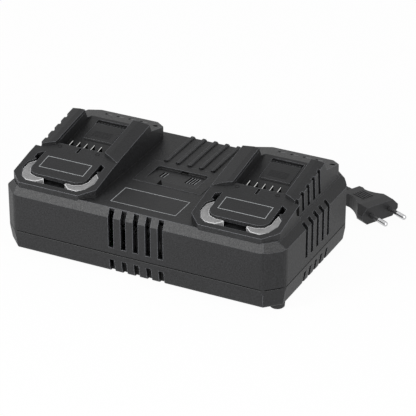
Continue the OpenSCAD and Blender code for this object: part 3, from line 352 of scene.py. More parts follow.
def moulded(name, colour, rough, grain, depth, edge, lift, spread=0.1, shine=0.5, recess=0.0):
    """Moulded plastic or rubber.

    It has grains of a size and depth, a painted highlight on edges of a radius, lighter by lift, and clouds
    by spread. With a recess, painted shade darkens what lies within that distance of other faces, and only
    outer edges get the painted highlight.
    """
    material, tree, shader = started(name)
    rounded = add(tree, "ShaderNodeBevel", {"Radius": edge}, samples=6).outputs[0]
    bump, grains = grained(tree, grain, depth, rounded)
    # Painted highlight: edges get lighter, by lift, where the rounded normal turns from the face's own
    edge_highlight = ranged(tree, turned(tree, rounded), 0.996, 0.85, 0.0, 1.0)
    body = mottled(tree, colour, 35.0, spread)
    # With a recess: the painted highlight stays on outer edges away from the joint, and the occlusion gives
    # painted shade
    if recess:
        occlusion_shade = add(tree, "ShaderNodeAmbientOcclusion", {"Distance": recess}, samples=8).outputs["AO"]
        edge_highlight = worked(tree, "MULTIPLY", edge_highlight, ranged(tree, occlusion_shade, 0.8, 0.97, 0.0, 1.0))
        place = add(tree, "ShaderNodeSeparateXYZ", {0: add(tree, "ShaderNodeTexCoord").outputs["Object"]})
        from_joint = worked(tree, "ABSOLUTE", worked(tree, "SUBTRACT", place.outputs["Z"], PARTING_Z * MM))
        edge_highlight = worked(tree, "MULTIPLY", edge_highlight, worked(tree, "GREATER_THAN", from_joint, JOINT_CLEAR * MM))
    speckled = ranged(tree, grains, 0.3, 0.7, 1 - 2 * spread, 1 + 2 * spread)
    body = blended(tree, 1.0, body, speckled, "MULTIPLY")
    skin = blended(tree, edge_highlight, body, rgba(colour, lift))
    # Painted shade: darker within the recess distance of other faces
    if recess:
        skin = blended(tree, 1.0, skin, ranged(tree, occlusion_shade, 0.25, 0.85, 0.12, 1.0), "MULTIPLY")
    tree.links.new(skin, shader.inputs["Base Color"])
    tree.links.new(ranged(tree, grains, 0.3, 0.7, rough - 0.06, rough + 0.06), shader.inputs["Roughness"])
    tree.links.new(bump, shader.inputs["Normal"])
    shader.inputs["Specular IOR Level"].default_value = shine
    return material


def black(name):
    """Near-black painted shade for an opening that is too small to go dark by itself."""
    return moulded(name, (0.002, 0.002, 0.002), 0.8, 0.0005, 0.00001, 0.0001, 1.5, shine=0.04)


def metal(name, colour, rough, grain, depth, sides=1.0):
    """Bare or plated metal. With sides below 1, the faces that look along X get painted shade, darker by that
    share.
    """
    material, tree, shader = started(name)
    rounded = add(tree, "ShaderNodeBevel", {"Radius": 0.2 * MM}, samples=4).outputs[0]
    bump, grains = grained(tree, grain, depth, rounded, 4.0)
    body = mottled(tree, colour, 300.0, 0.12)
    # Painted shade on the faces that look along X
    if sides < 1:
        facing = add(tree, "ShaderNodeSeparateXYZ", {0: add(tree, "ShaderNodeNewGeometry").outputs["Normal"]})
        along = worked(tree, "ABSOLUTE", facing.outputs["X"])
        body = blended(tree, ranged(tree, along, 0.3, 0.7, 0.0, 1.0), body, rgba(colour, sides))
    tree.links.new(body, shader.inputs["Base Color"])
    tree.links.new(ranged(tree, grains, 0.3, 0.7, rough - 0.08, rough + 0.1), shader.inputs["Roughness"])
    tree.links.new(bump, shader.inputs["Normal"])
    shader.inputs["Metallic"].default_value = 1.0
    return material


def frosted(name, colour, rim):
    """Frosted lens: milky body with a darker middle, and a painted highlight on its rim."""
    material, tree, shader = started(name)
    rounded = add(tree, "ShaderNodeBevel", {"Radius": rim}, samples=8).outputs[0]
    # Painted highlight: near its edges the colour rises to three times the lens colour
    edge = ranged(tree, turned(tree, rounded), 0.999, 0.95, 0.0, 1.0)
    body = mottled(tree, colour, 260.0, 0.3)
    tree.links.new(blended(tree, edge, body, rgba(colour, 3.0)), shader.inputs["Base Color"])
    tree.links.new(grained(tree, 0.0009, 0.00002)[0], shader.inputs["Normal"])
    shader.inputs["Roughness"].default_value = 0.3
    shader.inputs["Subsurface Weight"].default_value = 0.2
    shader.inputs["Subsurface Radius"].default_value = (0.003, 0.003, 0.003)
    shader.inputs["Subsurface Scale"].default_value = 0.5
    return material


def wound(name, colour, pitch, axis):
    """Enamelled wire, laid turn beside turn."""
    material, tree, shader = started(name)
    at = add(tree, "ShaderNodeTexCoord").outputs["Object"]
    turns = add(tree, "ShaderNodeTexWave", {
        "Vector": at, "Scale": 1 / (20 * pitch), "Distortion": 0.6, "Detail": 1.0, "Detail Scale": 8.0},
                bands_direction=axis, wave_profile="SIN").outputs["Fac"]
    tree.links.new(blended(tree, turns, rgba(colour, 0.45), rgba(colour, 1.1)), shader.inputs["Base Color"])
    raised(tree, shader, turns, pitch * 0.4, 1.0)
    shader.inputs["Metallic"].default_value = 0.7
    shader.inputs["Roughness"].default_value = 0.35
    return material


def printed_board(name, colour):
    """Solder mask over copper tracks, with pads."""
    material, tree, shader = started(name)
    at = add(tree, "ShaderNodeTexCoord").outputs["Object"]
    tracks = add(tree, "ShaderNodeTexBrick", {
        "Vector": at, "Color1": rgba(colour), "Color2": rgba(colour, 1.5), "Mortar": rgba(colour, 0.6),
        "Scale": 130.0, "Mortar Size": 0.03})
    pads = add(tree, "ShaderNodeTexVoronoi", {"Vector": at, "Scale": 160.0})
    near = ranged(tree, pads.outputs["Distance"], 0.16, 0.13, 0.0, 1.0)
    skin = blended(tree, near, tracks.outputs["Color"], (0.55, 0.53, 0.5, 1))
    tree.links.new(skin, shader.inputs["Base Color"])
    raised(tree, shader, tracks.outputs["Fac"], 0.0001, 0.5)
    shader.inputs["Roughness"].default_value = 0.35
    return material


def woven(name, colour, pitch):
    """Woven strap: fine warp and weft."""
    material, tree, shader = started(name)
    at = add(tree, "ShaderNodeTexCoord").outputs["Object"]
    waves = [add(tree, "ShaderNodeTexWave", {"Vector": at, "Scale": 1 / (20 * pitch)}, bands_direction=axis)
             for axis in ("DIAGONAL", "Y")]
    weave = worked(tree, "MULTIPLY", *(wave.outputs["Fac"] for wave in waves))
    tree.links.new(blended(tree, weave, rgba(colour, 0.5), rgba(colour, 2.2)), shader.inputs["Base Color"])
    raised(tree, shader, weave, pitch * 0.4, 0.8)
    shader.inputs["Roughness"].default_value = 0.85
    shader.inputs["Sheen Weight"].default_value = 0.3
    return material


def coat(material, *nodes):
    """Gives CAD nodes a finish."""
    for name in nodes:
        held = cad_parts[name]
        for slot in held.material_slots:
            slot.material = material
        if not held.material_slots:
            held.data.materials.append(material)


# Node trees that repeat a shape

def tree_with(name, *inputs):
    """A new node tree with the named inputs, its input node and its output node."""
    tree = bpy.data.node_groups.new(name, "GeometryNodeTree")
    for label, kind in inputs:
        tree.interface.new_socket(label, in_out="INPUT", socket_type=kind)
    tree.interface.new_socket("Geometry", in_out="OUTPUT", socket_type="NodeSocketGeometry")
    return tree, tree.nodes.new("NodeGroupInput"), tree.nodes.new("NodeGroupOutput")


def finish_tree(tree, given, made, points, shape):
    """Sets a shape on each point, moves them all into place and gives them their material."""
    many = add(tree, "GeometryNodeInstanceOnPoints", {
        "Points": points.outputs[0], "Instance": shape.outputs[0]})
    real = add(tree, "GeometryNodeRealizeInstances", {"Geometry": many.outputs[0]})
    placed = add(tree, "GeometryNodeTransform", {
        "Geometry": real.outputs[0],
        "Translation": given.outputs["Place"], "Rotation": given.outputs["Turn"]})
    skin = add(tree, "GeometryNodeSetMaterial", {
        "Geometry": placed.outputs[0], "Material": given.outputs["Material"]})
    tree.links.new(skin.outputs[0], made.inputs[0])
    return tree


def bars_tree():
    """Small bars in rows and columns on a plane, set in place by a turn and a move."""
    tree, given, made = tree_with(
        "Bars in rows", ("Columns", "NodeSocketInt"), ("Rows", "NodeSocketInt"),
        ("Span X", "NodeSocketFloat"), ("Span Y", "NodeSocketFloat"), ("Bar", "NodeSocketVector"),
        ("Turn", "NodeSocketVector"), ("Place", "NodeSocketVector"), ("Material", "NodeSocketMaterial"))
    grid = add(tree, "GeometryNodeMeshGrid", {
        "Size X": given.outputs["Span X"], "Size Y": given.outputs["Span Y"],
        "Vertices X": given.outputs["Columns"], "Vertices Y": given.outputs["Rows"]})
    bar = add(tree, "GeometryNodeMeshCube", {"Size": given.outputs["Bar"]})
    return finish_tree(tree, given, made, grid, bar)


def rings_tree():
    """Thin round rings in a row on a plane."""
    tree, given, made = tree_with(
        "Rings in a row", ("Columns", "NodeSocketInt"), ("Span", "NodeSocketFloat"),
        ("Radius", "NodeSocketFloat"), ("Wire", "NodeSocketFloat"), ("Turn", "NodeSocketVector"),
        ("Place", "NodeSocketVector"), ("Material", "NodeSocketMaterial"))
    row = add(tree, "GeometryNodeMeshGrid", {
        "Size X": given.outputs["Span"], "Size Y": 0.0,
        "Vertices X": given.outputs["Columns"], "Vertices Y": 1})
    loop, wire = (add(tree, "GeometryNodeCurvePrimitiveCircle", {
        "Resolution": n, "Radius": given.outputs[label]}) for n, label in ((28, "Radius"), (8, "Wire")))
    ring = add(tree, "GeometryNodeCurveToMesh", {"Curve": loop.outputs[0], "Profile Curve": wire.outputs[0]})
    return finish_tree(tree, given, made, row, ring)


def grown(name, tree, values, smooth=False):
    """The evaluated result of a node tree as a plain piece."""
    host = bpy.data.objects.new(name + "_host", bpy.data.meshes.new(name + "_host"))
    bpy.context.scene.collection.objects.link(host)
    build = host.modifiers.new("Build", "NODES")
    build.node_group = tree
    for item in tree.interface.items_tree:
        if item.in_out == "INPUT" and item.name in values:
            build[item.identifier] = values[item.name]
    graph = bpy.context.evaluated_depsgraph_get()
    mesh = bpy.data.meshes.new_from_object(host.evaluated_get(graph), depsgraph=graph)
    bpy.data.objects.remove(host)
    mesh.name = name
    return show(name, mesh, None, smooth)


def frame_bounds(name):
    """Lowest and highest corner of a CAD node."""
    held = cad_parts[name]
    corners = [held.matrix_world @ Vector(c) for c in held.bound_box]
    return [[pick(c[i] for c in corners) for i in range(3)] for pick in (min, max)]


# Cord route, in millimetres and with the same points as the part's source

# Points of the cord at the gland, and its inner end along Y
GLAND = [(-8, 84, 14.6), (-8, 90, 14.4), (-8, 95, 12.4), (-8, 99, 10.2)]
INNER_Y = (50.5, 62, 73, 84.2)
# Strap: thickness, gap to the coil, radius of its bends, room inside the coil, and turn round the coil
STRAP_T = 0.9
SEAT_GAP = 0.3
STRAP_ROUND = 2.4
STRAP_ROOM = 1
STRAP_TURN = -30
# Rounding of the strap's edges: width, and how much thinner they are on each side
STRAP_EDGE = 0.6
STRAP_THIN = 0.3
# Coil: middle, outer radius, turns in a layer, gap between turns, height of the lower layer, how far it
# swings inwards where the layers change, and steps of its line in degrees
COIL_AT = (29, 112.5)
COIL_R = 38
TURNS = 4
GAP = 0.5
COIL_Z = STRAP_T + SEAT_GAP + CORD_D / 2
COIL_DIP = 1.5
COIL_STEP = 5
# Plug: direction in degrees, height, length, length of its thick front, and how much it thins behind that
YAW = -28
PLUG_Z = 7.2
PLUG_L = 36
FACE_L = 8
PLUG_TAPER = 2.3
# From the coil to the plug: length, first points as distance and height, the height that these count as the
# whole rise, and further points as shares of the length
RUN = 44
RUN_START = ((0, 0), (6, 0), (12, 0.9), (17, 2.2))
RUN_RISE = 2.8
RUN_SHARES = (0.5, 0.66, 0.82, 1)
# Ridges on the plug's waist: count, span, size of one, and distances from the plug's front and middle
GRIP_N = 5
GRIP_SPAN = 8.8
GRIP = (13, 0.8, 0.9)
GRIP_BACK = 21
GRIP_UP = 6.1
# Sides of the cord's tube, and the distance between its points in metres
CORD_SIDES = 18
CORD_STEP = 3 * MM


def coil_line(diameter, step):
    """Centreline of the coil from its lower outer end to its upper outer end."""
    pitch = diameter + GAP
    inner = COIL_R - TURNS * pitch
    start = 90 + YAW
    up = start + 360 * TURNS
    end = 180 + 360 * math.floor((up + 360 * TURNS) / 360)
    n = math.ceil((end - start) / step)
    line = []
    for i in range(n + 1):
        a = start + (end - start) * i / n
        if a < up:
            r = COIL_R - pitch * (a - start) / 360
        elif a < up + 180:
            r = inner - COIL_DIP * math.sin(math.radians(a - up))
        else:
            r = inner + pitch * (a - up - 180) / 360
        z = COIL_Z + pitch * max(0, min(1, (a - up) / 180))
        line.append(Vector((COIL_AT[0] + r * math.cos(math.radians(a)),
                            COIL_AT[1] + r * math.sin(math.radians(a)), z)))
    return line


def cord_points(diameter):
    """Centreline of the free cord in metres, from gland to plug, and the plug's front and direction."""
    coil = coil_line(diameter, COIL_STEP)
    way = Vector((math.cos(math.radians(YAW)), math.sin(math.radians(YAW)), 0))
    first = coil[0] + diameter * way
    last = coil[-1] - Vector((0, diameter, 0))
    rise = PLUG_Z - COIL_Z
    start = [first + d * way + Vector((0, 0, h * rise / RUN_RISE)) for d, h in RUN_START]
    run = [first + RUN * share * way + Vector((0, 0, rise)) for share in RUN_SHARES]
    line = [Vector(p) for p in GLAND] + [last - Vector((0, diameter, 0)), last] + coil[::-1] + start + run
    face = first + (RUN + PLUG_L) * way + Vector((0, 0, rise))
    return [p * MM for p in line], face * MM, way


# Places on the housing: each takes two coordinates and a height over the surface in millimetres

def on_dock(dock, level=0):
    """On a plane at a level over a dock's plane."""
    def lift(x, y, up):
        z = DOCK_Z + level + y * math.tan(DOCK_TILT)
        return Vector((dock * DOCK_X + x, y - up * math.sin(DOCK_TILT), z + up * math.cos(DOCK_TILT))) * MM
    return lift


def on_dock_side(side):
    return lambda y, z, up: Vector((side * (DOCK_SIDE_X + up), y, z)) * MM


def on_dock_rear(side, hole):
    """Behind the channel, with x and y from one of the holes."""
    return lambda x, y, up: Vector((side * DOCK_X + hole + x, REAR_HOLE_Y + y,
                                    REAR_HOLE_Z - REAR_FALL * y + up)) * MM


def on_deck(x, y, up):
    return Vector((x, y, DECK_Z + up)) * MM


def in_well(x, y, up):
    return Vector((x, y, DECK_Z + PANEL_H - (y - WELL_FRONT) * WELL_SLOPE + up)) * MM


def on_well_wall(x, z, up):
    return Vector((x, WELL_BACK - up, z)) * MM


# Pieces made by rule

def patches(name, slabs, material):
    """Thin slabs as one piece."""
    mesh = mesh_of(name, *joined(slabs))
    tidy_normals(mesh)
    return show(name, mesh, material)


def line_frame(field, lift):
    """Four thin strips round a field."""
    x, y0, y1 = field
    w, thick = sizes().line / MM, sizes().film / MM
    strips = [rectangle(-x, x, y0, y0 + w), rectangle(-x, x, y1 - w, y1),
              rectangle(-x, -x + w, y0 + w, y1 - w), rectangle(x - w, x, y0 + w, y1 - w)]
    return [prism(strip, lift, thick) for strip in strips]


def bars(name, tree, dock, layout, material):
    """Bars on a dock's slope."""
    (columns, rows), (span_x, span_y), bar, middle, level = layout
    return grown(name, tree, {
        "Columns": columns, "Rows": rows, "Span X": span_x * MM, "Span Y": span_y * MM,
        "Bar": tuple(v * MM for v in bar), "Turn": (DOCK_TILT, 0, 0),
        "Place": tuple(on_dock(dock, level)(*middle)), "Material": material})


def rings(name, tree, count, span, tilt, place, material):
    """Rings in a row along X."""
    return grown(name, tree, {
        "Columns": count, "Span": span * MM, "Radius": RING_R * MM, "Wire": RING_WIRE * MM,
        "Turn": (tilt, 0, 0), "Place": tuple(place), "Material": material}, smooth=True)


def softened(p, before, after):
    """Points of a short curve round a corner of an outline."""
    start, end = (p + (q - p).normalized() * CORNER_SOFT for q in (before, after))
    return [start * (1 - f) ** 2 + 2 * p * f * (1 - f) + end * f * f for f in SEAM_STEPS]


def seam_line():
    """The shade in the joint of both housings: a ring that fills the upper side of its groove."""
    low, high = (Vector(corner) / MM for corner in frame_bounds("top_housing"))
    half = (high - low) / 2
    centre = (high + low) / 2
    points, faces = [], []
    for inset, up in SEAM_SECTION:
        x, y = half.x - inset, half.y - inset
        cut = CORNER_CUT - inset * (2 - math.sqrt(2))
        sharp = [Vector(p) for p in (
            (x, y - cut), (x - cut, y), (-x + cut, y), (-x, y - cut),
            (-x, -y + cut), (-x + cut, -y), (x - cut, -y), (x, -y + cut))]
        for i, p in enumerate(sharp):
            for q in softened(p, sharp[i - 1], sharp[(i + 1) % len(sharp)]):
                points.append(Vector((q.x + centre.x, q.y + centre.y, PARTING_Z + up)) * MM)
    n, loops = len(points) // len(SEAM_SECTION), len(SEAM_SECTION)
    for r in range(loops):
        for i in range(n):
            j, q = (i + 1) % n, (r + 1) % loops
            faces.append([r * n + i, r * n + j, q * n + j, q * n + i])
    mesh = mesh_of("seam_line", points, faces)
    tidy_normals(mesh)
    return show("seam_line", mesh, black("recess shade"))


def strap_loop():
    """Steps round the strap's bends as the bend's middle and a direction, in a plane across the band."""
    thick = sizes().cord / MM
    pitch = thick + GAP
    low = COIL_R - TURNS * pitch - thick / 2 - COIL_DIP - STRAP_ROOM
    high = COIL_R + thick / 2 + GAP
    top = COIL_Z + pitch + thick / 2 + SEAT_GAP
    r = STRAP_ROUND
    loop = []
    for cx, cz, a0 in ((high - r, STRAP_T + r, -90), (high - r, top - r, 0), (low + r, top - r, 90),
                       (low + r, STRAP_T + r, 180)):
        for a in (math.radians(a0 + 15 * k) for k in range(7)):
            loop.append((cx, cz, math.cos(a), math.sin(a)))
    return loop


def strap_mesh():
    """A band with rounded edges round one side of the coil."""
    turn = Matrix.Rotation(math.radians(STRAP_TURN), 4, "Z")
    half = sizes().strap / MM / 2
    rows = ((-half, STRAP_THIN), (STRAP_EDGE - half, 0), (half - STRAP_EDGE, 0), (half, STRAP_THIN))
    loop = strap_loop()
    points, faces = [], []
    for cx, cz, c, s in loop:
        for y, edge in rows:
            for g in (STRAP_ROUND + edge, STRAP_ROUND + STRAP_T - edge):
                p = turn @ Vector((cx + c * g, y, cz + s * g))
                points.append(Vector((p.x + COIL_AT[0], p.y + COIL_AT[1], max(p.z, 0.0))) * MM)
    n, w = len(loop), 2 * len(rows)
    ring = [0, 2, 4, 6, 7, 5, 3, 1]
    for i in range(n):
        for k in range(w):
            a, b = ring[k], ring[(k + 1) % w]
            j = (i + 1) % n
            faces.append([i * w + a, j * w + a, j * w + b, i * w + b])
    mesh = mesh_of("cord_strap", points, faces)
    tidy_normals(mesh)
    return mesh


# Operators

class CHARGER_OT_stage(bpy.types.Operator):
    """Pale floor, soft studio lamps and the camera"""
    bl_idname = "charger.stage"
    bl_label = "Stage"

    def execute(self, context):
        scene = context.scene
        scene.view_settings.view_transform = "Standard"
        self.floor(scene)
        self.world(scene)
        for name, place, width, power in LAMPS:
            lamp = bpy.data.lights.new(name, "AREA")
            lamp.size = width
            lamp.energy = power
            held = bpy.data.objects.new(name, lamp)
            held.location = place
            held.rotation_euler = (-Vector(place)).to_track_quat("-Z", "Y").to_euler()
            scene.collection.objects.link(held)
        camera = bpy.data.cameras.new("camera")
        camera.lens = CAMERA_LENS
        camera.sensor_width = SENSOR
        held = bpy.data.objects.new("camera", camera)
        held.location = CAMERA_AT
        held.rotation_euler = [math.radians(a) for a in CAMERA_TURN]
        scene.collection.objects.link(held)
        scene.camera = held
        return {"FINISHED"}

    def floor(self, scene):
        """A pale floor that keeps the shadow, nearly white to the camera and darker in reflections."""
        corners = [(x, y, 0) for x, y in rectangle(-FLOOR_HALF, FLOOR_HALF, -FLOOR_HALF, FLOOR_HALF)]
        floor = bpy.data.objects.new("floor", mesh_of("floor", corners, [(0, 1, 2, 3)]))
        scene.collection.objects.link(floor)
        pale, tree, shader = started("pale floor")
        shader.inputs["Base Color"].default_value = (0.86, 0.86, 0.86, 1)
        shader.inputs["Roughness"].default_value = 0.9
        shader.inputs["Specular IOR Level"].default_value = 0.0
        white = add(tree, "ShaderNodeEmission", {"Color": (1, 1, 1, 1), "Strength": 1.0})
        rays = add(tree, "ShaderNodeLightPath")
        seen, mirrored = rays.outputs["Is Camera Ray"], rays.outputs["Is Glossy Ray"]
        share = worked(tree, "MULTIPLY", worked(tree, "MAXIMUM", seen, mirrored),
                       ranged(tree, seen, 0.0, 1.0, FLOOR_MIRRORED, FLOOR_WHITE))
        mixed = add(tree, "ShaderNodeMixShader", {0: share, 1: shader.outputs[0], 2: white.outputs[0]})
        tree.links.new(mixed.outputs[0], tree.nodes["Material Output"].inputs["Surface"])
        floor.data.materials.append(pale)

    def world(self, scene):
        """White to the camera, a dim light on the charger, and darker to the back in its reflections."""
        world = bpy.data.worlds.new("studio")
        scene.world = world
        world.use_nodes = True
        tree = world.node_tree
        tree.nodes.clear()
        rays = add(tree, "ShaderNodeLightPath")
        seen = rays.outputs["Is Camera Ray"]
        for label in ("Is Glossy Ray", "Is Transmission Ray"):
            seen = worked(tree, "MAXIMUM", seen, rays.outputs[label])
        dim = add(tree, "ShaderNodeBackground", {"Color": (1, 1, 1, 1), "Strength": WORLD_LIGHT})
        facing = add(tree, "ShaderNodeSeparateXYZ", {0: add(tree, "ShaderNodeTexCoord").outputs["Generated"]})
        back = ranged(tree, facing.outputs["Y"], -0.1, 0.7, 1.0, WORLD_BACK)
        strength = add(tree, "ShaderNodeMix", {0: rays.outputs["Is Glossy Ray"], 2: 1.0, 3: back})
        bright = add(tree, "ShaderNodeBackground", {"Color": (1, 1, 1, 1), "Strength": strength.outputs[0]})
        mixed = add(tree, "ShaderNodeMixShader", {0: seen, 1: dim.outputs[0], 2: bright.outputs[0]})
        out = add(tree, "ShaderNodeOutputWorld")
        tree.links.new(mixed.outputs[0], out.inputs["Surface"])


class CHARGER_OT_cord(bpy.types.Operator):
    """Mains cord with its coil, strap and plug"""
    bl_idname = "charger.cord"
    bl_label = "Cord and plug"

    def execute(self, context):
        c = colours()
        diameter = sizes().cord
        sheath = moulded("cord sheath", c.cord, 0.42, 0.0004, 0.00001, 0.0002, 1.2)
        line, face, way = cord_points(diameter / MM)
        line = smooth_line(line, CORD_STEP)
        cord = show("mains_cord", swept(line, diameter / 2, CORD_SIDES), sheath, smooth=True)
        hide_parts("cord_coil", "plug_cord", "supply_cord")
        inner = [Vector((GLAND[0][0], y, GLAND[0][2])) * MM for y in INNER_Y]
        show("cord_inner_end", swept(inner, diameter / 2, CORD_SIDES), sheath, smooth=True)

        strap = show("cord_strap", strap_mesh(), woven("strap weave", c.rubber, 0.0007))
        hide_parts("cord_tie")
        # The plug: painted shade within 3 mm of other faces, and a painted highlight on its edges
        rubber = moulded("plug rubber", c.plug, 0.5, 0.0006, 0.00003, 0.0007, 8.0, 0.1, 0.46, 3 * MM)
        coat(rubber, "plug_body", "plug_boot")
        grips = self.grips(face, way, rubber)
        coat(moulded("pin sleeve", c.sleeve, 0.4, 0.0004, 0.00001, 0.0002, 1.6), "plug_sleeves")
        coat(metal("plated brass", c.steel, 0.22, 0.0004, 0.00001), "plug_pins")
        coat(moulded("gland rubber", c.rubber, 0.5, 0.0004, 0.00002, 0.0004, 2.0), "cord_gland")
        length = sum((b - a).length for a, b in zip(line, line[1:]))
        [tuple(p) for p in line]
        return {"FINISHED"}

    def grips(self, face, way, skin):
        """Low ridges along the plug's waist, above and below."""
        tree = bars_tree()
        taper = math.atan2(PLUG_TAPER, PLUG_L - FACE_L)
        both = bmesh.new()
        for side in (1, -1):
            ridges = grown("ridge", tree, {
                "Columns": 1, "Rows": GRIP_N, "Span X": 0.0, "Span Y": GRIP_SPAN * MM,
                "Bar": tuple(v * MM for v in GRIP), "Turn": (0, -side * taper, math.radians(YAW)),
                "Place": tuple(face - GRIP_BACK * MM * way + Vector((0, 0, side * GRIP_UP * MM))),
                "Material": skin})
            both.from_mesh(ridges.data)
            bpy.data.objects.remove(ridges)
        mesh = bpy.data.meshes.new("plug_grips")
        both.to_mesh(mesh)
        both.free()
        return show("plug_grips", mesh, skin)


class CHARGER_OT_housing(bpy.types.Operator):
    """Finishes of both housings, the feet and the screws"""
    bl_idname = "charger.housing"
    bl_label = "Housing"

    def execute(self, context):
        c, s = colours(), sizes()
        # Both housings: painted shade within 4 mm of other faces, and a painted highlight, 20 times their
        # colour, on outer edges
        for name, colour, node in (("upper housing", c.housing, "top_housing"),
                                   ("lower housing", c.base, "base_shell")):
            coat(moulded(name, colour, 0.5, s.grain, 0.0002, s.edge, 20.0, 0.3, 0.34, 4 * MM), node)
        seam_line()
        coat(moulded("foot rubber", c.rubber, 0.75, 0.0006, 0.00004, 0.0004, 1.5), "rubber_feet")
        coat(metal("screw steel", c.steel, 0.35, 0.0004, 0.00001),
             "housing_screws", "terminal_screws", "board_screws", "clamp_screws")
        return {"FINISHED"}


class CHARGER_OT_docks(bpy.types.Operator):
    """Lenses and contact blades, and the marks and shades on the docks and the deck"""
    bl_idname = "charger.docks"
    bl_label = "Docks and deck"

    def execute(self, context):
        c = colours()
        coat(frosted("frosted lens", c.lens, 1.1 * MM),
             "dock_1_lens_left", "dock_1_lens_right", "dock_2_lens_left", "dock_2_lens_right")
        # The blades' sides, which look along X, get painted shade and go nearly black
        coat(metal("contact blade", c.blade, 0.28, 0.0003, 0.00001, sides=0.02),
             "dock_1_blades", "dock_2_blades")
        coat(moulded("terminal carrier", (0.02, 0.02, 0.021), 0.5, 0.0005, 0.00002, 0.0003, 2.0),
             "dock_1_terminal_block", "dock_2_terminal_block")
        # One look for the printed lines round the fields and for the painted highlight lines beside the
        # icons' bars
        print_and_highlight_ink = moulded("printed line", c.print_and_highlight, 0.55, 0.0006, 0.00001, 0.0001, 1.1, 0.2)
        mark = moulded("channel mark", rgba(c.housing, 0.6)[:3], 0.6, 0.0005, 0.00001, 0.0001, 2.0,
                       shine=0.24)
        comb = moulded("slot comb", c.housing, 0.5, 0.0006, 0.00002, 0.0003, 4.0, shine=0.34)
        bar_tree, ring_tree = bars_tree(), rings_tree()
        for number, dock in ((1, -1), (2, 1)):
            patches(f"dock_{number}_frame", line_frame(DOCK_FIELD, on_dock(dock)), print_and_highlight_ink)
            bars(f"dock_{number}_dashes", bar_tree, dock, FLOOR_LINES, mark)
            bars(f"dock_{number}_comb", bar_tree, dock, SLOT_TEETH, comb)
            rings(f"dock_{number}_rings", ring_tree, 2, BLADE_RINGS_SPAN, DOCK_TILT,
                  on_dock(dock)(*BLADE_RINGS_AT), mark)
            bars(f"dock_{number}_stripe", bar_tree, dock, FLOOR_STRIPE, mark)
        # Painted shade in the small openings and the icons' bars, and also the black of the deck's arrow
        dark = black("painted recess shade and arrow")
        self.shades(dark)
        self.deck(print_and_highlight_ink, dark)
        rings("rib_rings", ring_tree, RIB_N, (RIB_N - 1) * RIB_PITCH, 0,
              on_deck(0, RIB_RINGS_Y, RIB_RINGS_UP), mark)
        return {"FINISHED"}

    def shades(self, dark):
        """Painted shade as dark patches at small openings, with a painted highlight beside each hole behind
        the docks.
        """
        sides = (1, -1)
        ends = [prism(SLOT_SHADE, on_dock_side(side), PATCH_H) for side in sides]
        notch = prism(rectangle(*NOTCH_SHADE), on_well_wall, PATCH_H)
        patches("slot_shades", ends + [notch], dark)
        lifts = [on_dock_rear(side, hole) for side in sides for hole in REAR_HOLES]
        patches("hole_shades", [prism(rectangle(*HOLE_SHADE), lift, PATCH_H) for lift in lifts], dark)
        # Painted highlight: a light patch beside each rear hole
        patches("hole_highlights", [prism(rectangle(*HOLE_HIGHLIGHT), lift, FACE_H) for lift in lifts],
                moulded("painted highlight patch", (0.09, 0.09, 0.092), 0.5, 0.0006, 0.00002, 0.0003, 1.6, shine=0.4))

    def deck(self, print_and_highlight_ink, dark):
        """The bare field on the deck, and the arrow and icons at its well; each icon bar is painted shade
        with a painted highlight beside it.
        """
        patches("deck_frame", line_frame(DECK_FIELD, on_deck), print_and_highlight_ink)
        patches("deck_arrow", [prism(ARROW, on_deck, PANEL_H + FACE_H)], dark)
        for name, xs, ys in ICONS:
            # Icon bars: a painted shade fill, and beside it a painted highlight line in the print colour
            fills = [rectangle(x + ICON_SHADE[0], x + ICON_SHADE[1], *ys) for x in xs]
            patches(f"{name}_icon", [prism(fill, in_well, FACE_H) for fill in fills], dark)
            lines = [rectangle(x + ICON_HIGHLIGHT[0], x + ICON_HIGHLIGHT[1], *ys) for x in xs]
            patches(f"{name}_icon_highlights", [prism(line, in_well, PATCH_H) for line in lines], print_and_highlight_ink)


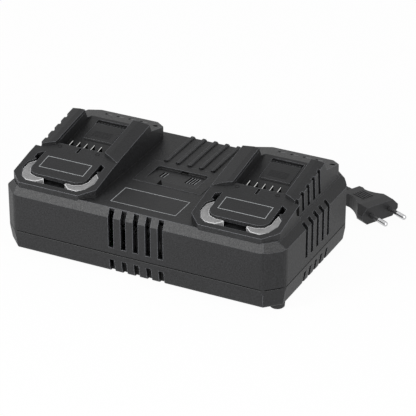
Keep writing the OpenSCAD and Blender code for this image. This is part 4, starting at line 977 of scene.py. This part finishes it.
class CHARGER_OT_inside(bpy.types.Operator):
    """Finishes of the boards, the transformer, the fan and all that is inside"""
    bl_idname = "charger.inside"
    bl_label = "Inside"

    def execute(self, context):
        c = colours()
        coat(printed_board("solder mask", c.board), "main_board", "dock_1_light_board", "dock_2_light_board")
        coat(wound("winding copper", c.copper, 0.0006, "Z"), "transformer_winding")
        coat(wound("choke copper", c.copper, 0.0010, "DIAGONAL"), "choke_winding")
        coat(wound("fan copper", c.copper, 0.0005, "Y"), "fan_stator")
        coat(metal("sink aluminium", (0.7, 0.71, 0.72), 0.4, 0.0004, 0.00002), "heat_sinks")
        coat(metal("fuse", (0.75, 0.74, 0.7), 0.2, 0.0004, 0.00001), "fuse")
        red, blue = (0.3, 0.02, 0.02), (0.05, 0.12, 0.3)
        # Name, colour to lift as for moulded, and CAD nodes
        for name, look, *nodes in (
                ("ferrite", ((0.03, 0.03, 0.032), 0.6, 0.0005, 0.00004, 0.0003, 1.5),
                 "transformer_core", "choke_core"),
                ("bobbin plastic", ((0.1, 0.09, 0.07), 0.45, 0.0005, 0.00002, 0.0002, 1.3),
                 "transformer_bobbin"),
                ("capacitor sleeve", ((0.02, 0.03, 0.06), 0.3, 0.0006, 0.00001, 0.0004, 1.6),
                 "bulk_capacitors", "output_capacitors"),
                ("film capacitor", ((0.45, 0.3, 0.05), 0.4, 0.0006, 0.00001, 0.0004, 1.2),
                 "filter_capacitor"),
                ("transistor case", ((0.02, 0.02, 0.02), 0.5, 0.0004, 0.00002, 0.0002, 1.6),
                 "power_transistors"),
                ("status lamp", ((0.6, 0.62, 0.6), 0.3, 0.0004, 0.00001, 0.0002, 1.2), "status_leds"),
                ("fan plastic", ((0.018, 0.018, 0.019), 0.42, 0.0005, 0.00002, 0.0003, 1.8),
                 "fan_frame", "fan_rotor"),
                ("clamp nylon", ((0.3, 0.29, 0.26), 0.5, 0.0005, 0.00002, 0.0003, 1.3), "cord_clamp"),
                ("dock 1 wires", (red, 0.4, 0.0004, 0.00001, 0.0002, 1.2), "dock_1_wires"),
                ("dock 2 wires", (red, 0.4, 0.0004, 0.00001, 0.0002, 1.2), "dock_2_wires"),
                ("mains wires", (blue, 0.4, 0.0004, 0.00001, 0.0002, 1.2), "mains_wires")):
            coat(moulded(name, *look), *nodes)
        return {"FINISHED"}


class CHARGER_PT_panel(bpy.types.Panel):
    """Lists the charger's settings and steps"""
    bl_idname = "CHARGER_PT_panel"
    bl_label = "Battery charger"
    bl_space_type = "VIEW_3D"
    bl_region_type = "UI"
    bl_category = "Charger"

    def draw(self, context):
        for group in (context.scene.charger_sizes, context.scene.charger_colours):
            for key in group.__annotations__:
                self.layout.prop(group, key)
        for operator in OPERATORS:
            self.layout.operator(operator.bl_idname)


OPERATORS = (CHARGER_OT_stage, CHARGER_OT_cord, CHARGER_OT_housing, CHARGER_OT_docks, CHARGER_OT_inside)
CLASSES = (ChargerColours, ChargerSizes, *OPERATORS, CHARGER_PT_panel)


def register():
    for cls in CLASSES:
        bpy.utils.register_class(cls)
    bpy.types.Scene.charger_colours = bpy.props.PointerProperty(type=ChargerColours)
    bpy.types.Scene.charger_sizes = bpy.props.PointerProperty(type=ChargerSizes)


def unregister():
    del bpy.types.Scene.charger_sizes
    del bpy.types.Scene.charger_colours
    for cls in reversed(CLASSES):
        bpy.utils.unregister_class(cls)


def main():
    register()
    bpy.ops.charger.stage()
    bpy.ops.charger.cord()
    bpy.ops.charger.housing()
    bpy.ops.charger.docks()
    bpy.ops.charger.inside()


if __name__ == "__main__":
    main()
